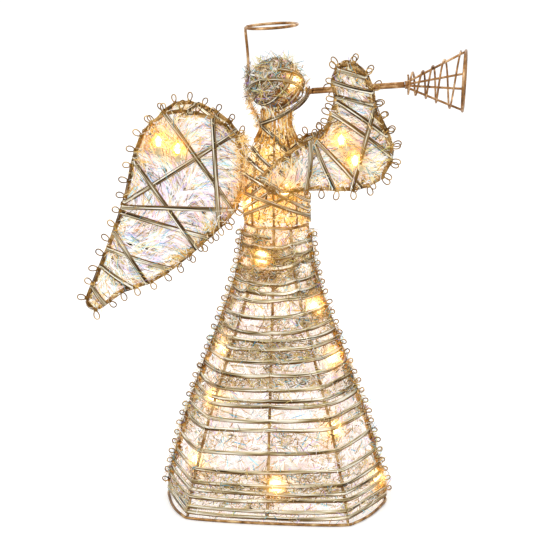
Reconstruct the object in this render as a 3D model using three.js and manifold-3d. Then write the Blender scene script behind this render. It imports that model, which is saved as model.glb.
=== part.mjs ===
// A light-up christmas angel of welded wire, seen in profile and blowing a trumpet.
// Millimetres. +Z is up, +X is the way the angel faces, -Y is its right-hand side.

import * as THREE from "three";
import { mergeVertices } from "three/addons/utils/BufferGeometryUtils.js";
import Module from "manifold-3d";

const wasm = await Module();
wasm.setup();

// Wires, bands and clearances
const frameWire = 2.4;
const hoopWire = 2;
const loopWire = 0.7;
const bandWidth = 3.2;
const bandThickness = 0.7;
const seatGap = 0.3;

// Gown: a long hexagon in plan, wide in profile, with a rib at each corner and mid-face
const skirtHeight = 238;
const baseHalfWidth = 93;
const baseFaceHalf = 67;
const baseHalfDepth = 62;
const waistHalfWidth = 26;
const waistFaceHalf = 14;
const waistHalfDepth = 18;
const flareShares = [1, 0.87, 0.7, 0.49, 0.27, 0.075, 0];
const bandPitch = 10.2;
const bandWaver = 1.4;
const hemHeight = 6;

// Tinsel: the garland between the turns of the band, the linings and what lies behind them
const garlandHeight = 0.35;
const garlandClear = 0.4;
const liningThickness = 1;
const fillThickness = 0.6;
const socketDiameter = 4.4;
const socketLength = 6.5;
const bulbDiameter = 4.2;
const bulbLength = 8.5;
const leadDiameter = 1.2;
const branchDiameter = 0.7;

// Bodice: round in plan, drawn in from bust to neck
const bodiceHeight = 74;
const bustHalfWidth = 26;
const bustHalfDepth = 20.5;
const bodiceWidthShares = [1, 1, 0.985, 0.95, 0.87, 0.7, 0.48];
const bodiceDepthShares = [0.88, 0.94, 1, 1, 0.94, 0.8, 0.61];
const bodiceRibCount = 8;
const bodiceTurns = 3.5;
const bodiceBandTopShare = 0.86;
const bustHoopShare = 0.5;
const bodiceBandRise = 13;

// Neck, head and halo
const neckHeight = 20;
const neckWire = 1.6;
const neckFolds = 8;
const neckTurnShares = [0.28, 0.72];
const headCageRadius = 19.8;
const headHoops = 3;
const headWindings = 5;
const haloRadius = 21;
const haloRise = 22;
const haloBend = 5;

// Wings, in their own plane: reach outwards and height upwards
const wingReach = 128;
const wingHeight = 161;
const wingRootShare = 0.65;
const wingSeatShare = 0.5;
const wingSplayAngle = 18;
const wingSpacing = 6;
const wingLoopCount = 18;

// Arms, in their own plane: reach forwards and height upwards
const armReach = 101;
const armHeight = 97;
const armTiltAngle = 4;
const shoulderShare = 0.48;
const shoulderBack = 5;
const shoulderStand = 1.6;
const gripShare = 0.86;

// Trumpet, along its own axis
const trumpetLiftAngle = 5;
const mouthpieceLength = 5;
const mouthpieceRadius = 4;
const tubeWire = 2.4;
const tubeLength = 75;
const mouthDrop = 6;
const bellLength = 49;
const bellRadius = 23.5;
const collarLength = 4;
const spiralWire = 1.7;
const spiralTurns = 5;

// Loop trim
const loopRadius = 2.2;
const loopStagger = 0.6;
const loopSteps = 5;
const skirtLoopCount = 13;

// Sides of the round wires' sections
const ringSides = 6;
const wireSides = 5;
const thinSides = 4;
const trimSides = 3;

const fullTurn = 2 * Math.PI;
const up = new THREE.Vector3(0, 0, 1);
const vec = (x, y, z) => new THREE.Vector3(x, y, z);
const lerp = THREE.MathUtils.lerp;
const radians = THREE.MathUtils.degToRad;
const wireRadius = frameWire / 2;

const finishes = {
  wire: { color: 0xb07a40, roughness: 0.35, metalness: 0.9 },
  band: { color: 0xb5a78a, roughness: 0.4, metalness: 0.7 },
  loops: { color: 0xc08f50, roughness: 0.35, metalness: 0.9 },
  tinsel: { color: 0xf2ecec, roughness: 0.3, metalness: 0.2 },
  lead: { color: 0xd9c9a0, roughness: 0.5, metalness: 0 },
  bulb: { color: 0xffe2a0, roughness: 0.2, metalness: 0, emissive: 0xffc060 },
};

const angel = new THREE.Group();

function addPiece(name, geometry, finish, parent = angel) {
  const mesh = new THREE.Mesh(geometry, new THREE.MeshStandardMaterial(finishes[finish]));
  mesh.name = name;
  parent.add(mesh);
  return mesh;
}

// A smooth value read from shares that are spaced evenly from 0 to 1
function spread(shares, at) {
  const place = THREE.MathUtils.clamp(at, 0, 1) * (shares.length - 1);
  const step = Math.min(Math.floor(place), shares.length - 2);
  const near = (index) => shares[THREE.MathUtils.clamp(index, 0, shares.length - 1)];
  const [a, b, c, d] = [near(step - 1), near(step), near(step + 1), near(step + 2)];
  const t = place - step;
  return b + (t * (c - a + t * (2 * a - 5 * b + 4 * c - d + t * (3 * (b - c) + d - a)))) / 2;
}

// The closed skin over a row of rings that have equally many points
function skinOver(rings, closed) {
  const count = rings[0].length;
  const index = [];
  const joins = closed ? rings.length : rings.length - 1;
  for (let ring = 0; ring < joins; ring++) {
    const here = ring * count;
    const next = ((ring + 1) % rings.length) * count;
    for (let i = 0; i < count; i++) {
      const j = (i + 1) % count;
      index.push(here + i, here + j, next + j, here + i, next + j, next + i);
    }
  }
  const last = (rings.length - 1) * count;
  for (let i = 1; i < count - 1 && !closed; i++) {
    index.push(0, i + 1, i, last, last + i, last + i + 1);
  }
  const positions = rings.flat().flatMap((point) => point.toArray());
  const geometry = new THREE.BufferGeometry();
  geometry.setAttribute("position", new THREE.Float32BufferAttribute(positions, 3));
  geometry.setIndex(index);
  return geometry;
}

const roundSection = (diameter, sides) =>
  Array.from({ length: sides }, (_, i) => {
    const angle = (i * fullTurn) / sides;
    return [(Math.cos(angle) * diameter) / 2, (Math.sin(angle) * diameter) / 2];
  });

const bandSection = [
  [-bandWidth / 2, -bandThickness / 2],
  [bandWidth / 2, -bandThickness / 2],
  [bandWidth / 2, bandThickness / 2],
  [-bandWidth / 2, bandThickness / 2],
];

// One ring of a sweep: side and out span the section
function ringAt(at, side, out, section) {
  return section.map(([a, b]) => at.clone().addScaledVector(side, a).addScaledVector(out, b));
}

// The rings of a section carried along points; outAt gives the way the section faces,
// and without it the section is carried from ring to ring with no twist.
function sweepRings(points, section, { closed = false, outAt = null } = {}) {
  let carried = outAt ? null : vec(0.1, 0.2, 1);
  return points.map((at, i) => {
    const before = closed ? points.at(i - 1) : points[Math.max(i - 1, 0)];
    const following = closed ? (i + 1) % points.length : Math.min(i + 1, points.length - 1);
    const after = points[following];
    const arrive = at.clone().sub(before).normalize();
    const leave = after.clone().sub(at).normalize();
    const along = arrive.add(leave).normalize();
    const out = (outAt ? outAt(i) : carried).clone();
    out.addScaledVector(along, -out.dot(along)).normalize();
    carried = out;
    return ringAt(at, out.clone().cross(along), out, section);
  });
}

const sweep = (points, section, options = {}) =>
  skinOver(sweepRings(points, section, options), options.closed);

// A round wire along an open curve
function wireAlong(curve, diameter, steps, sides) {
  const corners = roundSection(diameter, sides).map(([a, b]) => new THREE.Vector2(a, b));
  const options = { steps, extrudePath: curve, bevelEnabled: false };
  return new THREE.ExtrudeGeometry(new THREE.Shape(corners), options);
}

function solidOf(geometry) {
  const bare = geometry.index ? geometry.toNonIndexed() : geometry.clone();
  bare.deleteAttribute("normal");
  bare.deleteAttribute("uv");
  const merged = mergeVertices(bare);
  const vertProperties = merged.attributes.position.array;
  const triVerts = new Uint32Array(merged.index.array);
  return new wasm.Manifold(new wasm.Mesh({ numProp: 3, vertProperties, triVerts }));
}

// Pieces of wire welded into one
function weld(geometries) {
  const mesh = geometries.map(solidOf).reduce((a, b) => a.add(b)).getMesh();
  const geometry = new THREE.BufferGeometry();
  const positions = [];
  for (let i = 0; i < mesh.vertProperties.length; i += mesh.numProp) {
    positions.push(...mesh.vertProperties.subarray(i, i + 3));
  }
  geometry.setAttribute("position", new THREE.Float32BufferAttribute(positions, 3));
  geometry.setIndex([...mesh.triVerts]);
  return geometry;
}

// The least gap of a winding to itself, measured between the points of rings that are
// at least apart steps from each other
function printLeastGap(name, rings, apart) {
  let least = Infinity;
  rings.forEach((ring, i) =>
    rings.slice(i + apart).forEach((other) =>
      ring.forEach((a) => other.forEach((b) => {
        least = Math.min(least, a.distanceTo(b));
      })),
    ),
  );
  console.log(name + " least gap to itself " + least.toFixed(2) + " mm");
}

// Plan section of the gown at a share of its height, from its front edge round to the left
function skirtSection(share) {
  const flare = spread(flareShares, share);
  const wide = lerp(waistHalfWidth, baseHalfWidth, flare);
  const face = lerp(waistFaceHalf, baseFaceHalf, flare);
  const deep = lerp(waistHalfDepth, baseHalfDepth, flare);
  return [
    [wide, 0], [face, deep], [0, deep], [-face, deep],
    [-wide, 0], [-face, -deep], [0, -deep], [face, -deep],
  ].map(([x, y]) => vec(x, y, share * skirtHeight));
}

// The outward normals of the two faces that meet at a corner of a plan section
function cornerNormals(section, corner) {
  const count = section.length;
  const normal = (from, to) => vec(to.y - from.y, from.x - to.x, 0).normalize();
  return [
    normal(section[(corner + count - 1) % count], section[corner]),
    normal(section[corner], section[(corner + 1) % count]),
  ];
}

// A plan section moved outwards by a distance, its corners mitred
function offsetSection(section, distance) {
  return section.map((point, corner) => {
    const [a, b] = cornerNormals(section, corner);
    const mitre = a.clone().add(b).divideScalar(1 + a.dot(b));
    return point.clone().addScaledVector(mitre, distance);
  });
}

// A place on the gown: corner counts ribs from the front edge and may lie between two
function skirtPlace(corner, share, offset) {
  const section = offsetSection(skirtSection(share), offset);
  const from = Math.floor(corner);
  const rib = (index) => section[((index % skirtCorners) + skirtCorners) % skirtCorners];
  return rib(from).clone().lerp(rib(from + 1), corner - from);
}

const nearShare = 0.02;

function ribTangent(corner, share) {
  const above = skirtSection(share + nearShare)[corner];
  return above.sub(skirtSection(share - nearShare)[corner]).normalize();
}

const skirtCorners = 8;
const baseRingSteps = 32;
const waistRingSteps = 24;
const ribSteps = 13;
const flatShare = 0.01;
const cornerBendShare = 0.25;
const ringTop = frameWire * Math.sin(fullTurn / ringSides);
const ribFoot = (ringTop + 2 * seatGap) / skirtHeight;
const bandReach = wireRadius + seatGap + bandThickness / 2;
const garlandReach = wireRadius + 1.5 * seatGap;
const liningInset = wireRadius + socketDiameter + 4 * seatGap;
const leadInset = (wireRadius + liningInset) / 2;

// A level ring of wire bent smoothly through its corners
function closedWire(corners, steps, diameter, sides) {
  const line = new THREE.CatmullRomCurve3(corners, true, "catmullrom", cornerBendShare);
  const points = line.getPoints(steps).slice(0, -1);
  return sweep(points, roundSection(diameter, sides), { closed: true, outAt: () => up });
}

function buildSkirtFrame() {
  const foot = skirtSection(0).map((corner) => corner.setZ(ringTop / 2));
  addPiece("base_ring", closedWire(foot, baseRingSteps, frameWire, ringSides), "wire");
  for (let corner = 0; corner < skirtCorners; corner++) {
    const points = [];
    for (let step = 0; step <= ribSteps; step++) {
      points.push(skirtSection(lerp(ribFoot, 1, step / ribSteps))[corner]);
    }
    const line = new THREE.CatmullRomCurve3(points);
    addPiece("skirt_rib_" + (corner + 1), wireAlong(line, frameWire, ribSteps, wireSides), "wire");
  }
}

const waistLevel = skirtHeight + wireRadius + seatGap;

function buildWaistRing() {
  const waist = skirtSection(1).map((corner) => corner.setZ(waistLevel));
  addPiece("waist_ring", closedWire(waist, waistRingSteps, frameWire, wireSides), "wire");
}

const lowestBand = hemHeight + bandWidth / 2;
const highestBand = skirtHeight - bandWidth;
const bandSteps = skirtCorners * Math.floor((highestBand - lowestBand) / bandPitch);

// The height of the band after so many ribs, a little uneven as a hand winds it
function bandLevel(step) {
  const waver = bandWaver * Math.sin(step) * Math.sin(step / skirtCorners);
  return lerp(lowestBand, highestBand, step / bandSteps) + waver;
}

// How a winding passes a rib at a height, or null where the rib lies in a flat face
function ribPass(corner, share) {
  const section = skirtSection(share);
  const faces = cornerNormals(section, corner);
  if (faces[0].distanceTo(faces[1]) < flatShare) return null;
  const bend = Math.sqrt((1 + faces[0].dot(faces[1])) / 2);
  return { at: section[corner], faces, bend, along: ribTangent(corner, share) };
}

// The flat band wound round the gown ribs: it bends over each corner rib at two places
function buildSkirtWrap() {
  const rings = [];
  for (let step = 0; step <= bandSteps; step++) {
    const corner = step % skirtCorners;
    const pass = ribPass(corner, bandLevel(step) / skirtHeight);
    if (!pass) continue;
    const { at, faces, bend, along } = pass;
    faces.forEach((face) => {
      const out = face.clone().addScaledVector(along, -face.dot(along)).normalize();
      const middle = at.clone().addScaledVector(face, bandReach / bend);
      rings.push(ringAt(middle, along, out, bandSection));
    });
  }
  printLeastGap("skirt_wrap", rings, skirtCorners);
  addPiece("skirt_wrap", skinOver(rings, false), "band");
}

// A tinsel garland wound on the ribs in the furrow between each turn of the band and the
// next: it widens and narrows with the furrow and rises to a crest along its middle
function buildSkirtGarland() {
  const rings = [];
  for (let step = 0; step <= bandSteps - skirtCorners; step++) {
    const corner = step % skirtCorners;
    const below = bandLevel(step);
    const above = bandLevel(step + skirtCorners);
    const pass = ribPass(corner, (below + above) / 2 / skirtHeight);
    if (!pass) continue;
    const half = (above - below - bandWidth) / 2 - garlandClear;
    const section = [[-half, 0], [half, 0], [0, garlandHeight]];
    const out = pass.faces[0].clone().add(pass.faces[1]).normalize();
    const middle = pass.at.clone().addScaledVector(out, garlandReach / pass.bend);
    out.addScaledVector(pass.along, -out.dot(pass.along)).normalize();
    rings.push(ringAt(middle, pass.along, out, section));
  }
  printLeastGap("skirt_garland", rings, skirtCorners);
  addPiece("skirt_garland", skinOver(rings, false), "tinsel");
}

// A thin open-ended shell through plan sections, outer wall first
function shellThrough(outer, inner) {
  return skinOver([...outer, ...inner.reverse()], true);
}

const skirtLiningShares = [0.025, 0.1, 0.25, 0.42, 0.58, 0.74, 0.87, 0.975];

function buildSkirtLining() {
  const wall = (inset) =>
    skirtLiningShares.map((share) => offsetSection(skirtSection(share), -inset));
  const shell = shellThrough(wall(liningInset), wall(liningInset + liningThickness));
  addPiece("skirt_lining", shell, "tinsel");
}

// The wire trim: a small round loop at each step of a spine, the spine running on between
function loopTrimPoints(count, spineAt) {
  const points = [];
  for (let loop = 0; loop < count; loop++) {
    const { at, along, out, normal } = spineAt((loop + 0.5) / count);
    for (let step = 0; step <= loopSteps; step++) {
      const angle = (step / loopSteps) * fullTurn;
      points.push(
        at.clone()
          .addScaledVector(along, loopRadius * Math.sin(angle))
          .addScaledVector(out, loopRadius * (1 - Math.cos(angle)))
          .addScaledVector(normal, lerp(-loopStagger, loopStagger, step / loopSteps)),
      );
    }
    if (loop < count - 1) points.push(spineAt((loop + 1) / count).at);
  }
  return points;
}

function addLoopTrim(name, count, spineAt, normal, parent) {
  const points = loopTrimPoints(count, spineAt);
  const rings = sweepRings(points, roundSection(loopWire, trimSides), { outAt: () => normal });
  printLeastGap(name, rings, loopSteps - 1);
  addPiece(name, skinOver(rings, false), "loops", parent);
}

function buildSkirtLoops() {
  const trims = [["front_edge_loops", 0, 1], ["back_edge_loops", 4, -1]];
  trims.forEach(([name, corner, way]) => {
    const spineAt = (share) => {
      const height = lerp(hemHeight / skirtHeight, 1, share);
      const at = skirtSection(height)[corner];
      const along = ribTangent(corner, height);
      const out = vec(way * along.z, 0, -way * along.x);
      at.addScaledVector(out, bandReach + bandThickness / 2 + seatGap + loopWire / 2);
      return { at, along, out, normal: vec(0, 1, 0) };
    };
    addLoopTrim(name, skirtLoopCount, spineAt, vec(0, 1, 0), angel);
  });
}

const bodiceSteps = 16;
const liningSides = 12;
const bodiceLiningShares = [0.04, 0.2, 0.4, 0.6, 0.76];
const bodiceFoot = waistLevel + wireRadius + seatGap;

function bodicePlace(angle, share, offset) {
  const wide = bustHalfWidth * spread(bodiceWidthShares, share) + offset;
  const deep = bustHalfDepth * spread(bodiceDepthShares, share) + offset;
  return vec(wide * Math.cos(angle), deep * Math.sin(angle), bodiceFoot + share * bodiceHeight);
}

const bodiceTop = bodiceFoot + bodiceHeight;

function buildBodice() {
  const wires = [];
  for (let rib = 0; rib < bodiceRibCount; rib++) {
    const angle = (rib * fullTurn) / bodiceRibCount;
    const places = bodiceWidthShares.map((_, level) => level / (bodiceWidthShares.length - 1));
    const line = new THREE.CatmullRomCurve3(places.map((share) => bodicePlace(angle, share, 0)));
    wires.push(wireAlong(line, hoopWire, places.length - 1, thinSides));
  }
  [bustHoopShare, 1 - hoopWire / bodiceHeight].forEach((share) => {
    const points = [];
    for (let step = 0; step < bodiceSteps; step++) {
      points.push(bodicePlace((step * fullTurn) / bodiceSteps, share, -hoopWire / 4));
    }
    wires.push(sweep(points, roundSection(hoopWire, thinSides), { closed: true, outAt: () => up }));
  });
  addPiece("bodice_frame", weld(wires), "wire");

  const windings = [["bodice_wrap_under", 1, 0], ["bodice_wrap_over", -1, 1]];
  windings.forEach(([name, way, layer]) => {
    const offset = hoopWire / 2 + seatGap + bandThickness / 2 + layer * (bandThickness + seatGap);
    const rings = [];
    const steps = bodiceTurns * bodiceSteps;
    for (let step = 0; step <= steps; step++) {
      const angle = (step * fullTurn) / bodiceSteps;
      const highest = bodiceHeight * bodiceBandTopShare - bodiceBandRise;
      const rise = lerp(bodiceBandRise + bandWidth, highest, step / steps);
      const share = (rise + way * bodiceBandRise * Math.cos(angle + way)) / bodiceHeight;
      const at = bodicePlace(angle, share, offset);
      const next = bodicePlace(angle, share + nearShare, offset);
      const side = next.sub(at).normalize();
      const out = vec(at.x / bustHalfWidth, at.y / bustHalfDepth, 0).normalize();
      out.addScaledVector(side, -out.dot(side)).normalize();
      rings.push(ringAt(at, side, out, bandSection));
    }
    printLeastGap(name, rings, bodiceSteps / 2);
    addPiece(name, skinOver(rings, false), "band");
  });

  const angles = Array.from({ length: liningSides }, (_, i) => (i * fullTurn) / liningSides);
  const wall = (inset) =>
    bodiceLiningShares.map((share) => angles.map((angle) => bodicePlace(angle, share, -inset)));
  const shell = shellThrough(wall(liningInset), wall(liningInset + liningThickness));
  addPiece("bodice_lining", shell, "tinsel");
}

// The neck is one wire folded up and down all the way round
const neckRadius = bustHalfWidth * bodiceWidthShares.at(-1);
const neckFoot = bodiceTop + seatGap;

function buildNeck() {
  const points = [];
  const foldAngle = fullTurn / (2 * neckFolds);
  for (let i = 0; i < 2 * neckFolds; i++) {
    const low = neckFoot + neckWire / 2;
    const high = low + neckHeight - neckWire;
    const [first, second] = i % 2 ? [high, low] : [low, high];
    const shoulder = i % 2 ? -neckWire : neckWire;
    const [rounded, straight] = neckTurnShares;
    const fold = [[0, first + shoulder], [0, second - shoulder], [rounded, second], [straight, second]];
    fold.forEach(([turn, z]) => {
      const angle = (i + turn) * foldAngle;
      points.push(vec(neckRadius * Math.cos(angle), neckRadius * Math.sin(angle), z));
    });
  }
  const outAt = (i) => vec(points[i].x, points[i].y, 0);
  addPiece("neck_wire", sweep(points, roundSection(neckWire, thinSides), { closed: true, outAt }), "wire");
}

// The head is a cage of upright hoops with two layers of band wound on tilted axes
const cageSteps = 18;
const ballSides = 12;
const ballRows = 8;
const windingSteps = 16;
// Where each winding starts and ends, as shares of the way from pole to pole
const windingSpanShares = [0.1333, 0.7667];
// Each winding's lean from upright and its turn about the upright, in degrees
const underLean = [20, 0];
const overLean = [38, -35];
const windingSag = Math.cos(Math.PI / windingSteps);
const underRadius = (headCageRadius + hoopWire / 2 + seatGap + bandThickness / 2) / windingSag;
const overRadius = (underRadius + bandThickness + seatGap) / windingSag;
const headReach = overRadius + bandThickness / 2;
const headLiningRadius = headCageRadius - hoopWire / 2 - socketDiameter - 3 * seatGap;
const neckSeat = headReach + seatGap;
const headCentre = vec(
  0, 0, neckFoot + neckHeight + Math.sqrt(neckSeat ** 2 - neckRadius ** 2),
);

function buildHead() {
  const hoops = Array.from({ length: headHoops }, (_, i) => {
    const angle = (i * fullTurn) / (2 * headHoops);
    const normal = vec(-Math.sin(angle), Math.cos(angle), 0);
    const points = [];
    for (let step = 0; step < cageSteps; step++) {
      const turn = ((step + 1 / 2) * fullTurn) / cageSteps;
      const flat = vec(Math.cos(angle), Math.sin(angle), 0).multiplyScalar(Math.sin(turn));
      flat.addScaledVector(up, Math.cos(turn)).multiplyScalar(headCageRadius);
      points.push(flat.add(headCentre));
    }
    return sweep(points, roundSection(hoopWire, wireSides), { closed: true, outAt: () => normal });
  });
  addPiece("head_frame", weld(hoops), "wire");

  const windings = [
    ["head_wrap_under", underRadius, underLean],
    ["head_wrap_over", overRadius, overLean],
  ];
  windings.forEach(([name, radius, [lean, turn]]) => {
    const axes = new THREE.Quaternion().setFromEuler(
      new THREE.Euler(0, -radians(lean), radians(turn), "ZYX"),
    );
    const rings = [];
    for (let step = 0; step <= headWindings * windingSteps; step++) {
      const polar = Math.PI * lerp(...windingSpanShares, step / (headWindings * windingSteps));
      const spin = (step * fullTurn) / windingSteps;
      const out = vec(
        Math.sin(polar) * Math.cos(spin), Math.sin(polar) * Math.sin(spin), Math.cos(polar),
      ).applyQuaternion(axes);
      const side = vec(
        -Math.cos(polar) * Math.cos(spin), -Math.cos(polar) * Math.sin(spin), Math.sin(polar),
      ).applyQuaternion(axes);
      rings.push(ringAt(out.clone().multiplyScalar(radius).add(headCentre), side, out, bandSection));
    }
    printLeastGap(name, rings, windingSteps / 2 + 1);
    addPiece(name, skinOver(rings, false), "band");
  });

  const ball = new THREE.SphereGeometry(headLiningRadius, ballSides, ballRows).rotateX(fullTurn / 4);
  addPiece("head_lining", ball, "tinsel").position.copy(headCentre);
}

// How far out and how far down from the head's centre the stalk passes the jaw, and then the nape
const jawShares = [0.86, 0.72];
const napeShare = 0.2;
const haloSteps = 16;
const haloWireSteps = 42;

// The halo's one wire rises from the neck behind the head and bends over into a level ring
function buildHalo() {
  const stalk = -(headReach + seatGap + wireRadius);
  const neckSide = -(neckRadius + neckWire / 2 + seatGap + wireRadius);
  const level = headCentre.z + headReach + haloRise;
  const points = [
    vec(neckSide, 0, neckFoot + neckHeight / 4),
    vec(neckSide, 0, neckFoot + neckHeight / 2),
    vec(stalk * jawShares[0], 0, headCentre.z - headReach * jawShares[1]),
    vec(stalk, 0, headCentre.z - headReach * napeShare),
    vec(stalk, 0, headCentre.z + headReach),
    vec(stalk, 0, level - haloBend),
  ];
  const closing = (2 * frameWire) / haloRadius;
  for (let step = 0; step <= haloSteps; step++) {
    const angle = Math.PI + lerp(haloBend / haloRadius, fullTurn - closing, step / haloSteps);
    points.push(vec(
      stalk + haloRadius + haloRadius * Math.cos(angle), haloRadius * Math.sin(angle), level,
    ));
  }
  const line = new THREE.CatmullRomCurve3(points, false, "centripetal");
  addPiece("halo", wireAlong(line, frameWire, haloWireSteps, wireSides), "wire");
}

// Wings and arms are flat outline frames; a band zigzags round them from face to face
const faceReach = wireRadius + seatGap + bandThickness / 2;
const faceThickness = faceReach + bandThickness / 2;
const edgeShare = 0.7;
const apartCount = 5;

function flatOutline(shares, reach, height, steps) {
  const corners = shares.map(([u, v]) => vec(u * reach, 0, v * height));
  const curve = new THREE.CatmullRomCurve3(corners, true, "centripetal");
  return curve.getSpacedPoints(steps).slice(0, -1);
}

// A place on a closed outline of evenly spaced points, at a share of the way round
function outlineAt(points, share) {
  const place = (((share % 1) + 1) % 1) * points.length;
  const from = Math.floor(place);
  const near = (index) => points[(index + points.length) % points.length];
  const tangent = (index) => near(index + 1).clone().sub(near(index - 1)).normalize();
  const at = near(from).clone().lerp(near(from + 1), place - from);
  const along = tangent(from).lerp(tangent(from + 1), place - from).normalize();
  return { at, along, out: vec(-along.z, 0, along.x), normal: vec(0, 1, 0) };
}

// An outline moved outwards by a distance, its corners mitred
function offsetOutline(points, distance) {
  return points.map((point, index) => {
    const { out } = outlineAt(points, index / points.length);
    const next = points[(index + 1) % points.length].clone().sub(point).normalize();
    return point.clone().addScaledVector(out, distance / Math.sqrt(1 - out.dot(next) ** 2));
  });
}

function buildFrame(name, points, parent) {
  const options = { closed: true, outAt: () => vec(0, 1, 0) };
  const wire = sweep(points, roundSection(frameWire, wireSides), options);
  addPiece(name, wire, "wire", parent);
}

function buildFill(name, points, parent) {
  const inner = offsetOutline(points, -wireRadius - seatGap);
  const edge = inner.map((point) => new THREE.Vector2(point.x, point.z));
  const options = { depth: fillThickness, bevelEnabled: false };
  const slab = new THREE.ExtrudeGeometry(new THREE.Shape(edge), options);
  slab.translate(0, 0, -fillThickness / 2).rotateX(fullTurn / 4);
  addPiece(name, slab, "tinsel", parent);
}

// Each pass runs over one face to the other edge, then turns round the frame wire
function buildWrap(name, outline, shares, parent) {
  const normal = vec(0, 1, 0);
  const spots = shares.map((share) => outlineAt(outline, share));
  const rings = [];
  spots.forEach(({ at, along, out }, i) => {
    const face = i % 2 ? 1 : -1;
    const arrive = at.clone().sub(spots[Math.max(i - 1, 0)].at).normalize();
    const leave = at.clone().sub(spots[Math.min(i + 1, spots.length - 1)].at).normalize();
    const square = Math.max(arrive.add(leave).normalize().dot(out), edgeShare);
    const side = along.clone().multiplyScalar(-face / square);
    const addRing = (way, level, reach) => {
      const centre = at.clone().addScaledVector(normal, way * level).addScaledVector(out, reach);
      const facing = normal.clone().multiplyScalar(way).addScaledVector(out, reach / faceReach);
      rings.push(ringAt(centre, side, facing.normalize(), bandSection));
    };
    if (i > 0) {
      addRing(-face, faceReach, 0);
      addRing(-face, faceReach * edgeShare, faceReach);
    }
    if (i > 0 && i < spots.length - 1) addRing(face, faceReach * edgeShare, faceReach);
    if (i < spots.length - 1) addRing(face, faceReach, 0);
  });
  printLeastGap(name, rings, apartCount);
  addPiece(name, skinOver(rings, false), "band", parent);
}

const wingShares = [
  [0, 0.8], [0.1, 0.92], [0.27, 0.985], [0.45, 1], [0.6, 0.92], [0.68, 0.78], [0.73, 0.6],
  [0.82, 0.39], [0.93, 0.18], [1, 0.03], [0.95, 0], [0.78, 0.09], [0.6, 0.13],
  [0.4, 0.23], [0.22, 0.35], [0.04, 0.5],
];
const wingLoopShares = [0.01, 0.89];
const wingPassShares = [
  0.03, 0.865, 0.12, 0.82, 0.22, 0.78, 0.3, 0.745, 0.37, 0.71, 0.43, 0.675, 0.48, 0.64, 0.52,
];
const armShares = [
  [-0.03, 0.07], [0.12, 0.21], [0.27, 0.33], [0.36, 0.36], [0.46, 0.41], [0.52, 0.56],
  [0.57, 0.72], [0.54, 0.9], [0.62, 1], [0.76, 0.94], [0.84, 0.78], [0.86, 0.62],
  [0.95, 0.44], [1, 0.24], [0.91, 0.05], [0.7, -0.03], [0.4, -0.02], [0.03, -0.03],
];
const armPassShares = [
  0.05, 0.93, 0.1, 0.87, 0.145, 0.81, 0.17, 0.76, 0.2, 0.68, 0.235, 0.62, 0.275, 0.565, 0.32, 0.52,
];

const bodiceOut = hoopWire / 2 + 2 * (seatGap + bandThickness);
const wingOutline = flatOutline(wingShares, wingReach, wingHeight, 38);
const armOutline = flatOutline(armShares, armReach, armHeight, 34);

// A group on one side of the angel: way is 1 on its left and -1 on its right
function sideGroup(way) {
  const side = new THREE.Group();
  side.scale.y = way;
  angel.add(side);
  return side;
}

const wingFoot = bodiceFoot + wingSeatShare * bodiceHeight - wingRootShare * wingHeight;

// How far behind the angel's axis the wing's root edge meets the bodice bands
function wingSeat() {
  const splay = radians(wingSplayAngle);
  const reaches = wingOutline.map(({ x, z }) => {
    const share = (wingFoot + z - bodiceFoot) / bodiceHeight;
    const wide = bustHalfWidth * spread(bodiceWidthShares, share) + bodiceOut;
    const deep = bustHalfDepth * spread(bodiceDepthShares, share) + bodiceOut;
    const across = (wingSpacing + x * Math.sin(splay)) / deep;
    return across < 1 ? wide * Math.sqrt(1 - across ** 2) - x * Math.cos(splay) : 0;
  });
  return Math.max(...reaches) + wireRadius + seatGap;
}

function buildWing(name, way) {
  const wing = new THREE.Group();
  wing.position.set(-wingSeat(), wingSpacing, wingFoot);
  wing.rotation.z = Math.PI - radians(wingSplayAngle);
  sideGroup(way).add(wing);
  buildFrame(name + "_wing_frame", wingOutline, wing);
  buildFill(name + "_wing_fill", wingOutline, wing);
  buildWrap(name + "_wing_wrap", wingOutline, wingPassShares, wing);
  const spine = offsetOutline(wingOutline, faceThickness + 2 * seatGap + loopWire);
  const spineAt = (share) => outlineAt(spine, lerp(...wingLoopShares, share));
  addLoopTrim(name + "_wing_loops", wingLoopCount, spineAt, vec(0, 1, 0), wing);
  return wing;
}

const mouthAt = vec(headReach + seatGap, 0, headCentre.z - mouthDrop);
const tubeReach = tubeWire / 2 + tubeWire / Math.sqrt(3);

// The arm stands off the bodice at the shoulder and leans in until its hand meets the trumpet
function buildArm(name, way) {
  const arm = new THREE.Group();
  const shoulderSide = bustHalfDepth + bodiceOut + faceThickness + shoulderStand;
  const shoulderHeight = bodiceFoot + shoulderShare * bodiceHeight;
  const gripReach = gripShare * armReach;
  const rise = Math.tan(radians(trumpetLiftAngle)) * (gripReach - shoulderBack - mouthAt.x);
  const gripRise = mouthAt.z + rise - shoulderHeight;
  const gripSide = tubeReach + 2 * seatGap + faceThickness;
  const lean = gripRise * Math.sin(radians(armTiltAngle));
  const turn = Math.asin((shoulderSide - gripSide - lean) / gripReach);
  arm.position.set(-shoulderBack, shoulderSide, shoulderHeight);
  arm.rotation.set(radians(armTiltAngle), 0, -turn, "ZXY");
  sideGroup(way).add(arm);
  buildFrame(name + "_arm_frame", armOutline, arm);
  buildFill(name + "_arm_fill", armOutline, arm);
  buildWrap(name + "_arm_wrap", armOutline, armPassShares, arm);
  return arm;
}

const mouthProfileShares = [
  [0, 0.3], [0.45, 0.3], [0.8, 0], [1, 0], [1, 0.2], [0.54, 0.7], [0.54, 1], [0, 1],
];
const tubeSides = 10;
const bundledWires = 3;
const lobeSpread = 115;
const lobeSteps = 5;
const bellRibs = 4;
const rimSteps = 24;
const turnSteps = 12;
const spiralEndShare = 0.82;
const spiralCrowding = 1.25;

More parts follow.
